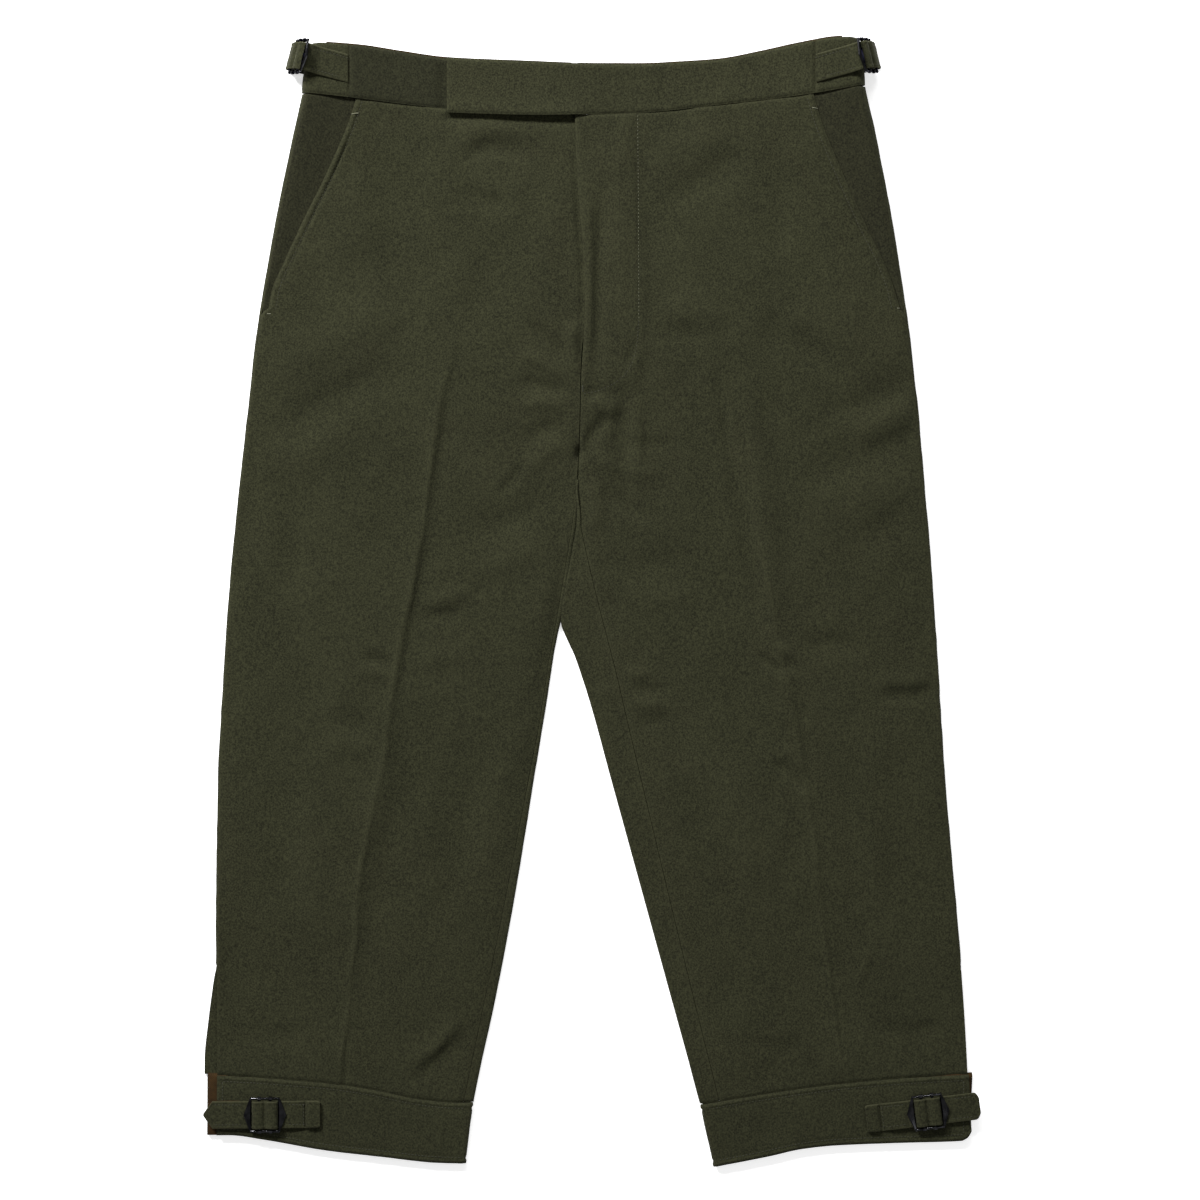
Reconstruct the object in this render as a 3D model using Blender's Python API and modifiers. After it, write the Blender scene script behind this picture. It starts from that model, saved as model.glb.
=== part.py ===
"""Knee breeches laid flat: moleskin panels, side adjusters, slant pockets, buckled knee bands.

The breeches lie face up with the waist towards +Y and the wearer's right leg at -X. Each leg is a
flattened tube. Its cross-sections are closed loops, and every panel is a strip of those loops, so
panels meet along the real seams. Sizes in the tables are in millimetres; MM turns them to metres.
"""
import math
from collections import namedtuple

import bpy
import numpy as np
from mathutils import Matrix, Vector

MM = 0.001

# Driving sizes, in millimetres.
CLOTH = 1.6               # moleskin panel
BAND = 2.4                # waistband wall: cloth, canvas and cloth
CUFF = 2.2                # knee band wall
LINING = 1.0
STRAP = 1.4
PLATE = 1.2               # buckle plate
GAP = 0.3                 # clearance kept between pieces
CROSS_GAP = 0.5           # clearance at seams that run across the legs
FOLD_SEAM = 0.07          # gap of a seam on a fold, as a share of the fold's turn
LEG_HEIGHT = 6.0          # outer height of a flattened leg
HIP_HEIGHT = 8.0
WAIST_HEIGHT = 8.5
SIDE_HEIGHT = 18.0        # the waistband stays full where it turns at the sides
CUFF_HEIGHT = 6.5
FOLD_RADIUS = 3.0
SIDE_RADIUS = 6.5
FLY_LAP = 2.0             # the left front lies on the right one at the fly
FLY_UNDERLAP = 6.0
FLY_WIDTH = 45.0
TAB_LIFT = 2.7            # the waistband tab lies on the other end of the band
TAB_END = -108.0
TAB_OVERHANG = 3.4        # how far the tab's free end hangs below the seam
CREASE_RISE = 2.0
OUTSEAM_TURN = 0.2        # share of the outer fold that the front covers
FACING_REACH = 10.0       # how far the pocket facing goes in under the front
STRAP_WIDTH = 19.5
BUCKLE_LENGTH = 32.0
BUCKLE_HEIGHT = 26.5
BAR_OFFSET = 4.2
BAR_WIDTH = 2.0
WINDOW = 10.0             # half the length of the buckle's window
STRAP_UNDER = -(PLATE / 2 + GAP + STRAP / 2)
STRAP_LIFT = 2.2          # room under the waistband's sides for the back straps
BUCKLE_TILT = math.radians(60)
ADJUSTER_TURN = math.radians(14)
ORIGIN = (0.8, 0.28)      # middle of the outline, in the tables' coordinates

# Heights down the leg where something starts or stops.
POCKET_END = 218.0
POCKET_SHARE = 0.2225     # the same place as a share of the leg's length
FLY_END = 155.0
CROTCH = 63.0
VENT_TOP = -272.0
RETREAT_SHARE = 0.8595    # where the back's edge starts to draw back from the vent, as a share of the leg

Leg = namedtuple("Leg", "name outer front back inseam crease pocket vent waist hem")
Cuff = namedtuple("Cuff", "vent back_end inner bottom")
Section = namedtuple("Section", "leg outer front back side_radius inner_radius side_height share")


def mix(a, b, t):
    return a + (b - a) * t


def ease(t):
    """Smooth step from 0 to 1."""
    t = min(max(t, 0.0), 1.0)
    return t * t * (3.0 - 2.0 * t)


def curve(points):
    """Smooth function through (key, value) points that never overshoots them."""
    keys, values = (np.array(column, float) for column in zip(*sorted(points)))
    steps = np.diff(values) / np.diff(keys)
    slopes = np.zeros(len(keys))
    slopes[0], slopes[-1] = steps[0], steps[-1]
    for i in range(1, len(keys) - 1):
        if steps[i - 1] * steps[i] > 0:
            slopes[i] = 2.0 / (1.0 / steps[i - 1] + 1.0 / steps[i])

    def value(key):
        key = min(max(key, keys[0]), keys[-1])
        i = min(int(np.searchsorted(keys, key, side="right")) - 1, len(keys) - 2)
        width = keys[i + 1] - keys[i]
        t = (key - keys[i]) / width
        start = values[i] * (1 + 2 * t) + slopes[i] * width * t
        end = values[i + 1] * (3 - 2 * t) - slopes[i + 1] * width * (1 - t)
        return float(start * (1 - t) ** 2 + end * t ** 2)

    return value


# Lines across the breeches: x, y.
WAIST_SEAM = curve([(-216.8, 381.4), (-181, 378), (-108, 370.5), (-12, 365.5), (34, 367), (103, 374),
                    (166, 381), (205.5, 387.4)])
WAIST_TOP = curve([(-208, 419), (-173, 417), (-143, 413), (-108, 408.5), (-53, 406), (7, 404), (37, 404),
                   (67, 405.4), (97, 407.6), (127, 413), (157, 419), (187, 423), (201, 423)])
HEM_RIGHT = curve([(-291, -354.5), (-250, -356.6), (-220, -359), (-192, -361.5), (-163, -366),
                   (-128, -373), (-100, -375.4), (-85, -375.4)])
HEM_LEFT = curve([(80, -377.5), (134, -368.5), (190, -361), (237, -357), (285, -354.3)])
CUFF_BOTTOM_RIGHT = curve([(-289, -399.4), (-272, -399.2), (-243, -403), (-200, -410.5), (-157, -415.5),
                           (-114, -420), (-93, -420.5)])
CUFF_BOTTOM_LEFT = curve([(91, -423.4), (134, -415), (159, -409.5), (185, -406.8), (230, -405),
                          (278, -403.5), (283, -401), (286, -396)])

# Lines down the breeches: y, x.
FLY = [(390, -12.8), (365, -12.4), (307, -9.6), (257, -5.8), (219, -4.8), (195, -6.1), (171, -7.6),
       (130, -8.5), (90, -10.2)]
CENTRE_BACK = [(390, -3), (240, -3), (120, -7)]
RIGHT_INNER = [(CROTCH, -11), (39, -14.6), (-13, -23.3), (-43, -28.5), (-73, -33), (-133, -42.8),
               (-193, -52.5), (-253, -63), (-313, -75), (-343, -81.8), (-376, -88.6)]
LEFT_INNER = [(CROTCH, -10), (39, -13.4), (-13, -21.8), (-43, -11.3), (-73, -1.5), (-133, 15), (-193, 31.5),
              (-253, 48), (-313, 64.5), (-343, 72.8), (-377.5, 81.8)]


def under_fly(points):
    """The right front's edge, which runs on under the left front as far as the fly's end."""
    return [(y, x + FLY_UNDERLAP * ease((y - FLY_END - 40) / 20)) for y, x in points]


RIGHT = Leg(
    name="right",
    outer=curve([(390, -215.2), (381, -216.8), (354, -222.8), (302, -234), (249, -243.8), (197, -252),
                 (144, -258), (92, -264), (39, -269.3), (-13, -273.8), (-73, -277.5), (-133, -280.5),
                 (-253, -282), (-268, -281.8), (-285, -284.3), (-313, -288), (-345, -291), (-356, -291)]),
    front=curve(under_fly(FLY) + RIGHT_INNER),
    back=curve(CENTRE_BACK + RIGHT_INNER),
    inseam=curve([(CROTCH, -11), (-13, -24), (-133, -47), (-253, -70.5), (-376, -96)]),
    crease=curve([(240, -90), (213, -96), (157, -112.5), (45, -129), (-27, -143), (-123, -157), (-207, -174),
                  (-291, -180), (-363, -190)]),
    pocket=curve([(385, -174), (367, -179), (322, -198), (288, -215), (257, -229.5), (234, -239.3),
                  (217, -242.3)]),
    vent=lambda y: -280.8,
    waist=(381.4, 365.5),
    hem=(-354.5, -375.0),
)
LEFT = Leg(
    name="left",
    outer=curve([(390, 205), (384, 206), (354, 213), (328, 218.3), (302, 223.5), (249, 232.5),
                 (197, 240), (144, 246), (92, 250.5), (39, 255), (-13, 258.8), (-73, 262.5),
                 (-133, 266.3), (-193, 271.5), (-253, 276.8), (-313, 281.3), (-356, 283.6)]),
    front=curve(FLY + LEFT_INNER),
    back=curve(CENTRE_BACK + LEFT_INNER),
    inseam=curve([(CROTCH, -9), (39, -4), (-4, 6.3), (-51, 18.4), (-88, 27), (-286, 74.3), (-377.5, 97)]),
    crease=curve([(225, 85), (191, 94.5), (123, 109), (57, 123), (-11, 136.5), (-84, 151), (-179, 167),
                  (-274, 178.5), (-358, 190)]),
    pocket=curve([(390, 163), (379, 167), (362, 172), (320, 189.3), (282, 206.5), (246, 223.7),
                  (222, 231.4)]),
    vent=lambda y: LEFT.outer(y) - 0.6,
    waist=(387.0, 365.5),
    hem=(-354.3, -377.5),
)
CUFFS = {
    "right": Cuff(vent=(-280.8, -281.2), back_end=(-288.4, -288.6), inner=(-88.6, -94.1),
                  bottom=CUFF_BOTTOM_RIGHT),
    "left": Cuff(vent=(283.8, 285.8), back_end=(286.8, 285.0), inner=(82, 92),
                 bottom=CUFF_BOTTOM_LEFT),
}
SIDE_FULLNESS = curve([(390, 17.4), (354, 14.8), (302, 11), (249, 9), (197, 8), (144, 7), (92, 6.5),
                       (0, LEG_HEIGHT)])
BODY_HEIGHT = curve([(390, HIP_HEIGHT), (200, HIP_HEIGHT), (60, LEG_HEIGHT + 0.5), (-60, LEG_HEIGHT)])


def hem_line(leg, x):
    return HEM_RIGHT(x) if leg.name == "right" else HEM_LEFT(x)


# ---------------------------------------------------------------- cross-sections of a leg

def section(leg, share):
    """The cross-section at a share of the way from the waist seam to the hem."""
    outer_y = mix(leg.waist[0], leg.hem[0], share)
    inner_y = mix(leg.waist[1], leg.hem[1], share)
    open_side = ease((VENT_TOP + 6 - outer_y) / 12)
    closed_leg = ease((CROTCH + 27 - inner_y) / 32)
    side_radius = mix(FOLD_RADIUS, SIDE_RADIUS, ease((outer_y - 90) / 290))
    return Section(
        leg=leg,
        outer=Vector((leg.outer(outer_y), outer_y)),
        front=Vector((leg.front(inner_y), inner_y)),
        back=Vector((leg.back(inner_y), inner_y)),
        side_radius=mix(side_radius, 0.4, open_side),
        inner_radius=mix(0.15, FOLD_RADIUS, closed_leg),
        side_height=mix(SIDE_FULLNESS(outer_y), 2 * CLOTH + 1.2, open_side),
        share=share,
    )


def across(cut, inner, t):
    """Point of a section's row, bent to the waist seam and the hem at the two ends."""
    flat = cut.outer.lerp(inner, t)
    waist_bend = WAIST_SEAM(flat.x) - mix(cut.leg.waist[0], cut.leg.waist[1], t)
    hem_bend = hem_line(cut.leg, flat.x) - mix(cut.leg.hem[0], cut.leg.hem[1], t)
    bend = waist_bend * ease(1 - cut.share * 6) + hem_bend * ease(1 - (1 - cut.share) * 6)
    return flat.x, flat.y + bend


def crease_rise(leg, x, y):
    """The pressed crease, a low ridge down the middle of the leg."""
    strength = ease((225 - y) / 90)
    return CREASE_RISE * strength * math.exp(-abs(x - leg.crease(y)) / 16)


def fly_rise(leg, x, y):
    """The fly's layers, which lift the left front beside its edge."""
    if leg.name == "right":
        return 0.0
    reach = ease((FLY_WIDTH + 6 - (x - leg.front(y))) / 12)
    return FLY_LAP * reach * ease((y - FLY_END + 5) / 20)


def top_height(cut, x, y):
    """Height of the upper layer's outer face."""
    from_side = abs(x - cut.outer.x)
    from_inner = abs(x - cut.front.x)
    body = BODY_HEIGHT(y)
    side = (cut.side_height - body) * math.exp(-(from_side / 55) ** 2)
    relief = crease_rise(cut.leg, x, y) * ease(from_side / 30) * ease(from_inner / 30)
    return body + side + relief + fly_rise(cut.leg, x, y)


def top_limits(cut):
    width = (cut.front - cut.outer).length
    return cut.side_radius / width, 1 - cut.inner_radius / width


def turn_at(cut, line):
    """Loop position on the upper layer where a line down the breeches crosses the section."""
    first, last = top_limits(cut)
    t = 0.5
    for _ in range(5):
        y = across(cut, cut.front, t)[1]
        t = (line(y) - cut.outer.x) / (cut.front.x - cut.outer.x)
    return (t - first) / (last - first)


def loop_point(cut, turn):
    """Point of the section's closed outer loop.

    Turn 0 to 1 is the upper layer from the outer side to the inner one, 1 to 2 the inner fold,
    2 to 3 the lower layer back to the outer side and 3 to 4 the outer fold. -0.2 is 3.8.
    """
    turn = turn % 4
    zone, t = int(turn), turn % 1
    first, last = top_limits(cut)
    if zone == 0:
        x, y = across(cut, cut.front, mix(first, last, t))
        return Vector((x, y, top_height(cut, x, y)))
    if zone == 2:
        x, y = across(cut, cut.back, mix(last, first, t))
        return Vector((x, y, 0.0))
    top_turn = last if zone == 1 else first
    top = Vector(across(cut, cut.front, top_turn))
    low = Vector(across(cut, cut.back, top_turn))
    height = top_height(cut, top.x, top.y)
    radius = cut.inner_radius if zone == 1 else cut.side_radius
    away = math.copysign(radius, cut.front.x - cut.outer.x) * (1 if zone == 1 else -1)
    angle = math.pi * (t if zone == 1 else 1 - t)
    middle = top.lerp(low, (1 - math.cos(angle)) / 2)
    return Vector((middle.x + away * math.sin(angle), middle.y, height / 2 * (1 + math.cos(angle))))


def seam_turn(cut):
    """Half of a seam's gap as a share of the upper layer."""
    return GAP * 0.6 / (cut.front - cut.outer).length


def fold_start(first):
    """Loop positions over the outer fold, with a short first step that keeps its edge square."""
    return [first, first * 0.85, first * 0.4]


def front_turns(cut, columns):
    """Loop positions of a front panel, from the outseam or pocket mouth to the fly or inseam."""
    leg = cut.leg
    y = cut.outer.y
    first = -OUTSEAM_TURN
    if y > POCKET_END - 4:
        first = turn_at(cut, leg.pocket)
    if y < VENT_TOP:
        first = max(turn_at(cut, leg.vent), 0.0)
    last = 1.0
    if cut.front.y <= CROTCH:
        last = min(turn_at(cut, leg.inseam), 1.0) - seam_turn(cut)
    if first >= 0:
        return [mix(first, last, i / columns) for i in range(columns + 1)]
    return fold_start(first) + [mix(0.0, last, i / (columns - 3)) for i in range(columns - 2)]


def back_turns(cut):
    """Loop positions of a back panel, from the inseam or centre back round to the outseam.

    Above the crotch the columns that go round the inner fold lie close together at the centre back.
    """
    inseam = turn_at(cut, cut.leg.inseam)
    inseam = inseam + seam_turn(cut) if inseam < 1 else 1 + FOLD_SEAM
    around = [inseam, mix(inseam, 1.2, 0.5)]
    around += [1.2 + i / 5 for i in range(4)] + [2 + i / 7 for i in range(7)]
    beside = [2 + seam_turn(cut) + 0.008 * i for i in range(6)] + [2.05 + 0.95 * i / 7 for i in range(7)]
    wrap = ease((CROTCH + 12 - cut.front.y) / 24)
    open_side = ease((cut.share - RETREAT_SHARE) / 0.01)
    first_outer = mix(3.0, 2.98, open_side)
    last_outer = mix(4 - OUTSEAM_TURN - FOLD_SEAM, 3.0, open_side)
    outer_fold = [mix(first_outer, last_outer, step) for step in (0, 0.32, 0.64, 0.96, 1)]
    return [mix(a, b, wrap) for a, b in zip(beside, around)] + outer_fold


def row_shares(first, last):
    """Shares of the leg's length at which its sections are taken, closer at the crotch and vent."""
    stops = ((0.0, 4), (0.222, 1), (0.24, 3), (0.365, 4), (0.445, 5), (0.862, 1), (0.874, 2), (0.9, 2),
             (0.9999, 0))
    shares = []
    for (start, steps), (end, _) in zip(stops, stops[1:]):
        shares += [mix(start, end, i / steps) for i in range(steps)]
    shares.append(stops[-1][0])
    return [share for share in shares if first <= share <= last]


# ---------------------------------------------------------------- making objects

def finish(name, color, roughness, metallic=0.0):
    """A Principled material of one plain colour."""
    material = bpy.data.materials.new(name)
    material.use_nodes = True
    shader = material.node_tree.nodes["Principled BSDF"]
    shader.inputs["Base Color"].default_value = (*color, 1.0)
    shader.inputs["Roughness"].default_value = roughness
    shader.inputs["Metallic"].default_value = metallic
    return material


def moleskin(name):
    return finish(f"{name}_moleskin", (0.035, 0.037, 0.021), 0.95)


def tan_cotton(name):
    return finish(f"{name}_cotton", (0.1, 0.055, 0.025), 0.9)


def gunmetal(name):
    return finish(f"{name}_gunmetal", (0.04, 0.04, 0.045), 0.3, 0.9)


def shell(name, rows, wall, material, flip=False, offset=-1.0):
    """An open surface through rows of points, given a wall on its inner side by Solidify."""
    width = len(rows[0])
    points = [point * MM for row in rows for point in row]
    faces = []
    for r in range(len(rows) - 1):
        for c in range(width - 1):
            corner = r * width + c
            face = (corner, corner + width, corner + width + 1, corner + 1)
            faces.append(face[::-1] if flip else face)
    mesh = bpy.data.meshes.new(name)
    mesh.from_pydata(points, [], faces)
    mesh.materials.append(material)
    mesh.shade_smooth()
    mesh.set_sharp_from_angle(angle=math.radians(50))
    piece = bpy.data.objects.new(name, mesh)
    breeches.objects.link(piece)
    solidify = piece.modifiers.new("wall", "SOLIDIFY")
    solidify.thickness = wall * MM
    solidify.offset = offset
    return piece


# ---------------------------------------------------------------- legs and pockets

def leg_panel(name, leg, shares, turns, material):
    rows = []
    for share in shares:
        cut = section(leg, share)
        rows.append([loop_point(cut, turn) for turn in turns(cut)])
    return shell(name, rows, CLOTH, material, flip=leg.name == "left")


def front(leg):
    name = f"front_{leg.name}"
    return leg_panel(name, leg, row_shares(0, 1), lambda cut: front_turns(cut, 12), moleskin(name))


def back(leg):
    name = f"back_{leg.name}"
    return leg_panel(name, leg, row_shares(0, 1), back_turns, moleskin(name))


def pocket_facing(leg):
    """The hip piece that shows beside the slant pocket and runs in under the front."""
    name = f"pocket_facing_{leg.name}"
    rows = []
    for share in row_shares(0, POCKET_SHARE):
        cut = section(leg, share)
        width = (cut.front - cut.outer).length
        mouth = turn_at(cut, leg.pocket)
        last = mouth + FACING_REACH / width
        bend = math.pi * cut.side_radius
        to_mouth = OUTSEAM_TURN * bend + mouth * width
        row = []
        for turn in fold_start(-OUTSEAM_TURN) + [mix(0, last, i / 5) for i in range(6)]:
            along = (turn + OUTSEAM_TURN) * bend if turn < 0 else OUTSEAM_TURN * bend + turn * width
            sunk = ease(along / to_mouth) * (CLOTH + GAP + 0.1)
            row.append(loop_point(cut, turn) - Vector((0, 0, sunk)))
        rows.append(row)
    return shell(name, rows, CLOTH, moleskin(name), flip=leg.name == "left")


# ---------------------------------------------------------------- waistband

Waist = namedtuple("Waist", "name side seam outer adjuster buckle")
WAISTS = (
    Waist("right", side=-1, seam=-181.0, outer=(-216.6, -208.5), adjuster=(-181.8, 399.3), buckle=38.5),
    Waist("left", side=1, seam=167.5, outer=(205.4, 199.5), adjuster=(168.3, 399.6), buckle=41.0),
)


def waist_height(x):
    """Height of the band's upper face, full at the sides and flat in front."""
    from_side = min(x + 212, 203 - x)
    return WAIST_HEIGHT + (SIDE_HEIGHT - WAIST_HEIGHT) * math.exp(-(max(from_side, 0) / 55) ** 2)


def tab_lift(x):
    return TAB_LIFT * ease((32 - x) / 44)


def tab_drop(x):
    """How far the tab's lower edge hangs below the waist seam, more towards its free end."""
    return TAB_OVERHANG * min(max((-14 - x) / 94, 0.0), 1.0)


def waist_strip(name, start, end, columns, wall, material, lift, low=0.0, high=1.0,
                drop=lambda x: 0.0):
    """Part of the waistband's front between two places along it."""
    rows = []
    for i in range(3):
        row = []
        for j in range(columns + 1):
            x = mix(start, end, j / columns)
            bottom = WAIST_SEAM(x) + CROSS_GAP - drop(x)
            y = mix(bottom, WAIST_TOP(x), mix(low, high, i / 2))
            row.append(Vector((x, y, waist_height(x) + lift(x))))
        rows.append(row)
    return shell(name, rows, wall, material, flip=True)


def waistband_fronts():
    right, left = WAISTS
    name = "waistband_front_right"
    waist_strip(name, right.seam + GAP / 2, -15.0, 10, BAND, moleskin(name), lambda x: 0.0)
    name = "waistband_front_left"
    waist_strip(name, TAB_END, left.seam - GAP / 2, 18, BAND, moleskin(name), tab_lift, drop=tab_drop)


def waistband_linings():
    """Cotton behind the band, whose upper edge shows as a thin line."""
    inside = -(BAND + GAP + 0.1)
    name = "waistband_lining_right"
    waist_strip(name, -198, -15, 12, LINING, tan_cotton(name), lambda x: inside, low=0.6, high=1.015)
    name = "waistband_lining_left"
    waist_strip(name, -10, 188, 12, LINING, tan_cotton(name), lambda x: inside, low=0.6, high=1.015)


def waistband_back(waist):
    """Half of the band's back, from the centre back round the side to the side seam."""
    name = f"waistband_back_{waist.name}"
    centre = -3 + waist.side * GAP / 2
    rows = []
    for i in range(3):
        share = i / 2
        outer = mix(*waist.outer, share)
        fold = outer - waist.side * SIDE_RADIUS
        spots = [(mix(waist.seam + waist.side * GAP / 2, fold, j / 3), 1.0) for j in range(3)]
        for j in range(7):
            angle = math.pi * j / 6
            spots.append((fold + waist.side * SIDE_RADIUS * math.sin(angle), (1 + math.cos(angle)) / 2))
        spots += [(mix(fold, centre, j / 8), 0.0) for j in range(1, 9)]
        row = []
        for x, level in spots:
            lift = STRAP_LIFT * ease((86 - abs(x - outer)) / 24)
            y = mix(WAIST_SEAM(x) + CROSS_GAP, WAIST_TOP(x), share)
            row.append(Vector((x, y, mix(lift, waist_height(x), level))))
        rows.append(row)
    return shell(name, rows, BAND, moleskin(name), flip=waist.side > 0)


# ---------------------------------------------------------------- knee bands

def cuff_rows(leg, spots):
    """Rows down a knee band through spots of (x at its top, x at its bottom, height)."""
    cuff = CUFFS[leg.name]
    rows = []
    for i in range(4):
        share = i / 3
        row = []
        for top_x, low_x, z in spots:
            x = mix(top_x, low_x, share)
            row.append(Vector((x, mix(hem_line(leg, x) - CROSS_GAP, cuff.bottom(x), share), z)))
        rows.append(row)
    return rows


def knee_band(leg):
    """The band from the vent's front edge, round the inner fold and back to the vent."""
    cuff = CUFFS[leg.name]
    name = f"knee_band_{leg.name}"
    side = -1 if leg.name == "right" else 1
    radius = CUFF_HEIGHT / 2
    fold = [x + side * radius for x in cuff.inner]
    spots = []
    for i in range(9):
        spots.append((mix(cuff.vent[0], fold[0], i / 9), mix(cuff.vent[1], fold[1], i / 9), CUFF_HEIGHT))
    for i in range(7):
        angle = math.pi * i / 6
        out = -side * radius * math.sin(angle)
        spots.append((fold[0] + out, fold[1] + out, radius * (1 + math.cos(angle))))
    for i in range(1, 10):
        spots.append((mix(fold[0], cuff.back_end[0], i / 9), mix(fold[1], cuff.back_end[1], i / 9), 0.0))
    return shell(name, cuff_rows(leg, spots), CUFF, moleskin(name), flip=leg.name == "left")


def knee_band_lining(leg):
    """Cotton inside the band's back end, which shows at the open vent."""
    cuff = CUFFS[leg.name]
    name = f"knee_band_lining_{leg.name}"
    side = -1 if leg.name == "right" else 1
    height = CUFF + GAP
    ends = [x - side * 0.4 for x in cuff.back_end]
    spots = [(ends[0] - side * reach, ends[1] - side * reach, height) for reach in (0, 8, 20, 34, 48)]
    return shell(name, cuff_rows(leg, spots), LINING, tan_cotton(name), flip=leg.name == "left", offset=1.0)


# ---------------------------------------------------------------- straps and buckles

def smooth_path(knots, steps=2):
    """Points along a smooth curve through knots in the strap's own plane."""
    ends = [2 * knots[0] - knots[1], *knots, 2 * knots[-1] - knots[-2]]
    path = []
    for a, b, c, d in zip(ends, ends[1:], ends[2:], ends[3:]):
        for i in range(steps):
            t = i / steps
            path.append(0.5 * (2 * b + (c - a) * t + (2 * a - 5 * b + 4 * c - d) * t ** 2
                               + (3 * b - 3 * c + d - a) * t ** 3))
    path.append(knots[-1])
    return path


def ribbon(name, base, heading, knots, width, material):
    """A strap that runs from base along a heading; knots are (distance, height) of its middle."""
    along = Vector((math.cos(heading), math.sin(heading), 0))
    sideways = Vector((-math.sin(heading), math.cos(heading), 0))
    rows = []
    for knot in smooth_path([Vector(knot) for knot in knots]):
        middle = Vector((*base, 0)) + along * knot.x + Vector((0, 0, knot.y))
        half = width(knot.x) / 2
        rows.append([middle - sideways * half, middle + sideways * half])
    return shell(name, rows, STRAP, material, offset=0.0)


def buckle(name, place):
    """A flat hexagonal slide with three windows; place puts its middle and strap direction."""
    data = bpy.data.curves.new(name, "CURVE")
    data.dimensions = "2D"
    data.fill_mode = "BOTH"
    data.extrude = PLATE / 2 * MM
    half, shoulder = BUCKLE_LENGTH / 2, 10.5
    top, window = BUCKLE_HEIGHT / 2, STRAP_WIDTH / 2 + 0.6
    outlines = [[(-half, 0), (-shoulder, -top), (shoulder, -top),
                 (half, 0), (shoulder, top), (-shoulder, top)]]
    bar_in, bar_out = BAR_OFFSET - BAR_WIDTH / 2, BAR_OFFSET + BAR_WIDTH / 2
    for start, end in ((-WINDOW, -bar_out), (-bar_in, bar_in), (bar_out, WINDOW)):
        outlines.append([(start, -window), (end, -window), (end, window), (start, window)])
    for outline in outlines:
        spline = data.splines.new("POLY")
        spline.points.add(len(outline) - 1)
        for point, (x, y) in zip(spline.points, outline):
            point.co = (x * MM, y * MM, 0, 1)
        spline.use_cyclic_u = True
    data.materials.append(gunmetal(name))
    piece = bpy.data.objects.new(name, data)
    breeches.objects.link(piece)
    piece.matrix_world = place
    return piece


def plane_point(middle, tilt, along, off):
    """A place beside the buckle, in the strap's own plane."""
    return (middle[0] + along * math.cos(tilt) + off * math.sin(tilt),
            middle[1] - along * math.sin(tilt) + off * math.cos(tilt))


def buckle_place(base, heading, middle, tilt):
    """World matrix of a buckle whose middle is at (distance, height) along its strap."""
    along = Vector((math.cos(heading), math.sin(heading), 0))
    spot = Vector((*base, middle[1])) + along * middle[0]
    turn = Matrix.Rotation(heading, 4, "Z") @ Matrix.Rotation(tilt, 4, "Y")
    return Matrix.Translation(spot * MM) @ turn


# Half of a strap's weave through a buckle: distance from its middle, height off its plane.
WEAVE = ((14.0, -1.65), (10.7, -1.75), (9.3, -1.4), (7.6, 0.0), (5.9, 1.4), (4.4, 1.8))
LOOP_END = ((3.2, 1.7), (2.2, 1.1), (1.3, -0.2))


def waist_adjuster(waist):
    """Two straps looped into a buckle that stands at the band's side."""
    heading = math.pi - ADJUSTER_TURN if waist.side < 0 else ADJUSTER_TURN
    middle = (waist.buckle, 15.5)
    outward = waist.buckle - 38.5

    def near(spots):
        return [plane_point(middle, BUCKLE_TILT, -along, off) for along, off in spots]

    def far(spots):
        return [plane_point(middle, BUCKLE_TILT, along, off) for along, off in spots]

    name = f"waist_strap_front_{waist.name}"
    rise = [(0.3, 16.8), (8, 18.0), (16 + outward, 19.9), (23 + outward, 23.6), (27.9 + outward, 27.2)]
    knots = rise + near(WEAVE[1:] + LOOP_END)
    ribbon(name, waist.adjuster, heading, knots, lambda s: STRAP_WIDTH, moleskin(name))
    name = f"waist_strap_back_{waist.name}"
    under = [(41.4 + outward, 3.1), (38.8 + outward, 1.25), (34, 0.75), (20, 0.75), (0, 0.75), (-22, 0.75)]
    knots = far(LOOP_END[::-1] + WEAVE[:0:-1]) + under
    ribbon(name, waist.adjuster, heading, knots, lambda s: STRAP_WIDTH, moleskin(name))
    buckle(f"waist_buckle_{waist.name}", buckle_place(waist.adjuster, heading, middle, BUCKLE_TILT))


KneeStrap = namedtuple("KneeStrap", "name base heading buckle length point")
KNEE_STRAPS = (
    KneeStrap("right", base=(-203.3, -383.8), heading=math.radians(180.3), buckle=41.1, length=87.4,
              point=6.8),
    KneeStrap("left", base=(206.6, -387.4), heading=math.radians(6.9), buckle=46.4, length=85.6,
              point=4.0),
)


def knee_strap(strap):
    """A strap sewn to the knee band, woven through its buckle and on to its point."""
    name = f"knee_strap_{strap.name}"
    level = CUFF_HEIGHT + GAP + STRAP / 2
    middle = (strap.buckle, level - STRAP_UNDER)
    half = [plane_point(middle, 0, -along, off) for along, off in WEAVE]
    other = [plane_point(middle, 0, along, off) for along, off in WEAVE]
    dip = [plane_point(middle, 0, along, off) for along, off in ((-2.9, 1.8), (0, 1.2), (2.9, 1.8))]
    knots = [(0, level), (12, level), (22, level)] + half + dip + other[::-1]
    knots += [(strap.length - strap.point, level), (strap.length, level)]

    def width(distance):
        past = (distance - (strap.length - strap.point)) / strap.point
        return STRAP_WIDTH * (1 - 0.9 * max(past, 0)) if strap.name == "right" \
            else STRAP_WIDTH * (1 - 0.4 * max(past, 0) ** 2)

    ribbon(name, strap.base, strap.heading, knots, width, moleskin(name))
    buckle(f"knee_buckle_{strap.name}", buckle_place(strap.base, strap.heading, middle, 0))


# ---------------------------------------------------------------- the whole object

def clear_scene():
    for thing in list(bpy.data.objects):
        bpy.data.objects.remove(thing, do_unlink=True)


def rest_on_origin():
    """Shift every piece so that the outline's middle is on the origin."""
    for piece in breeches.objects:
        piece.location -= Vector((*ORIGIN, 0)) * MM


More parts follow.
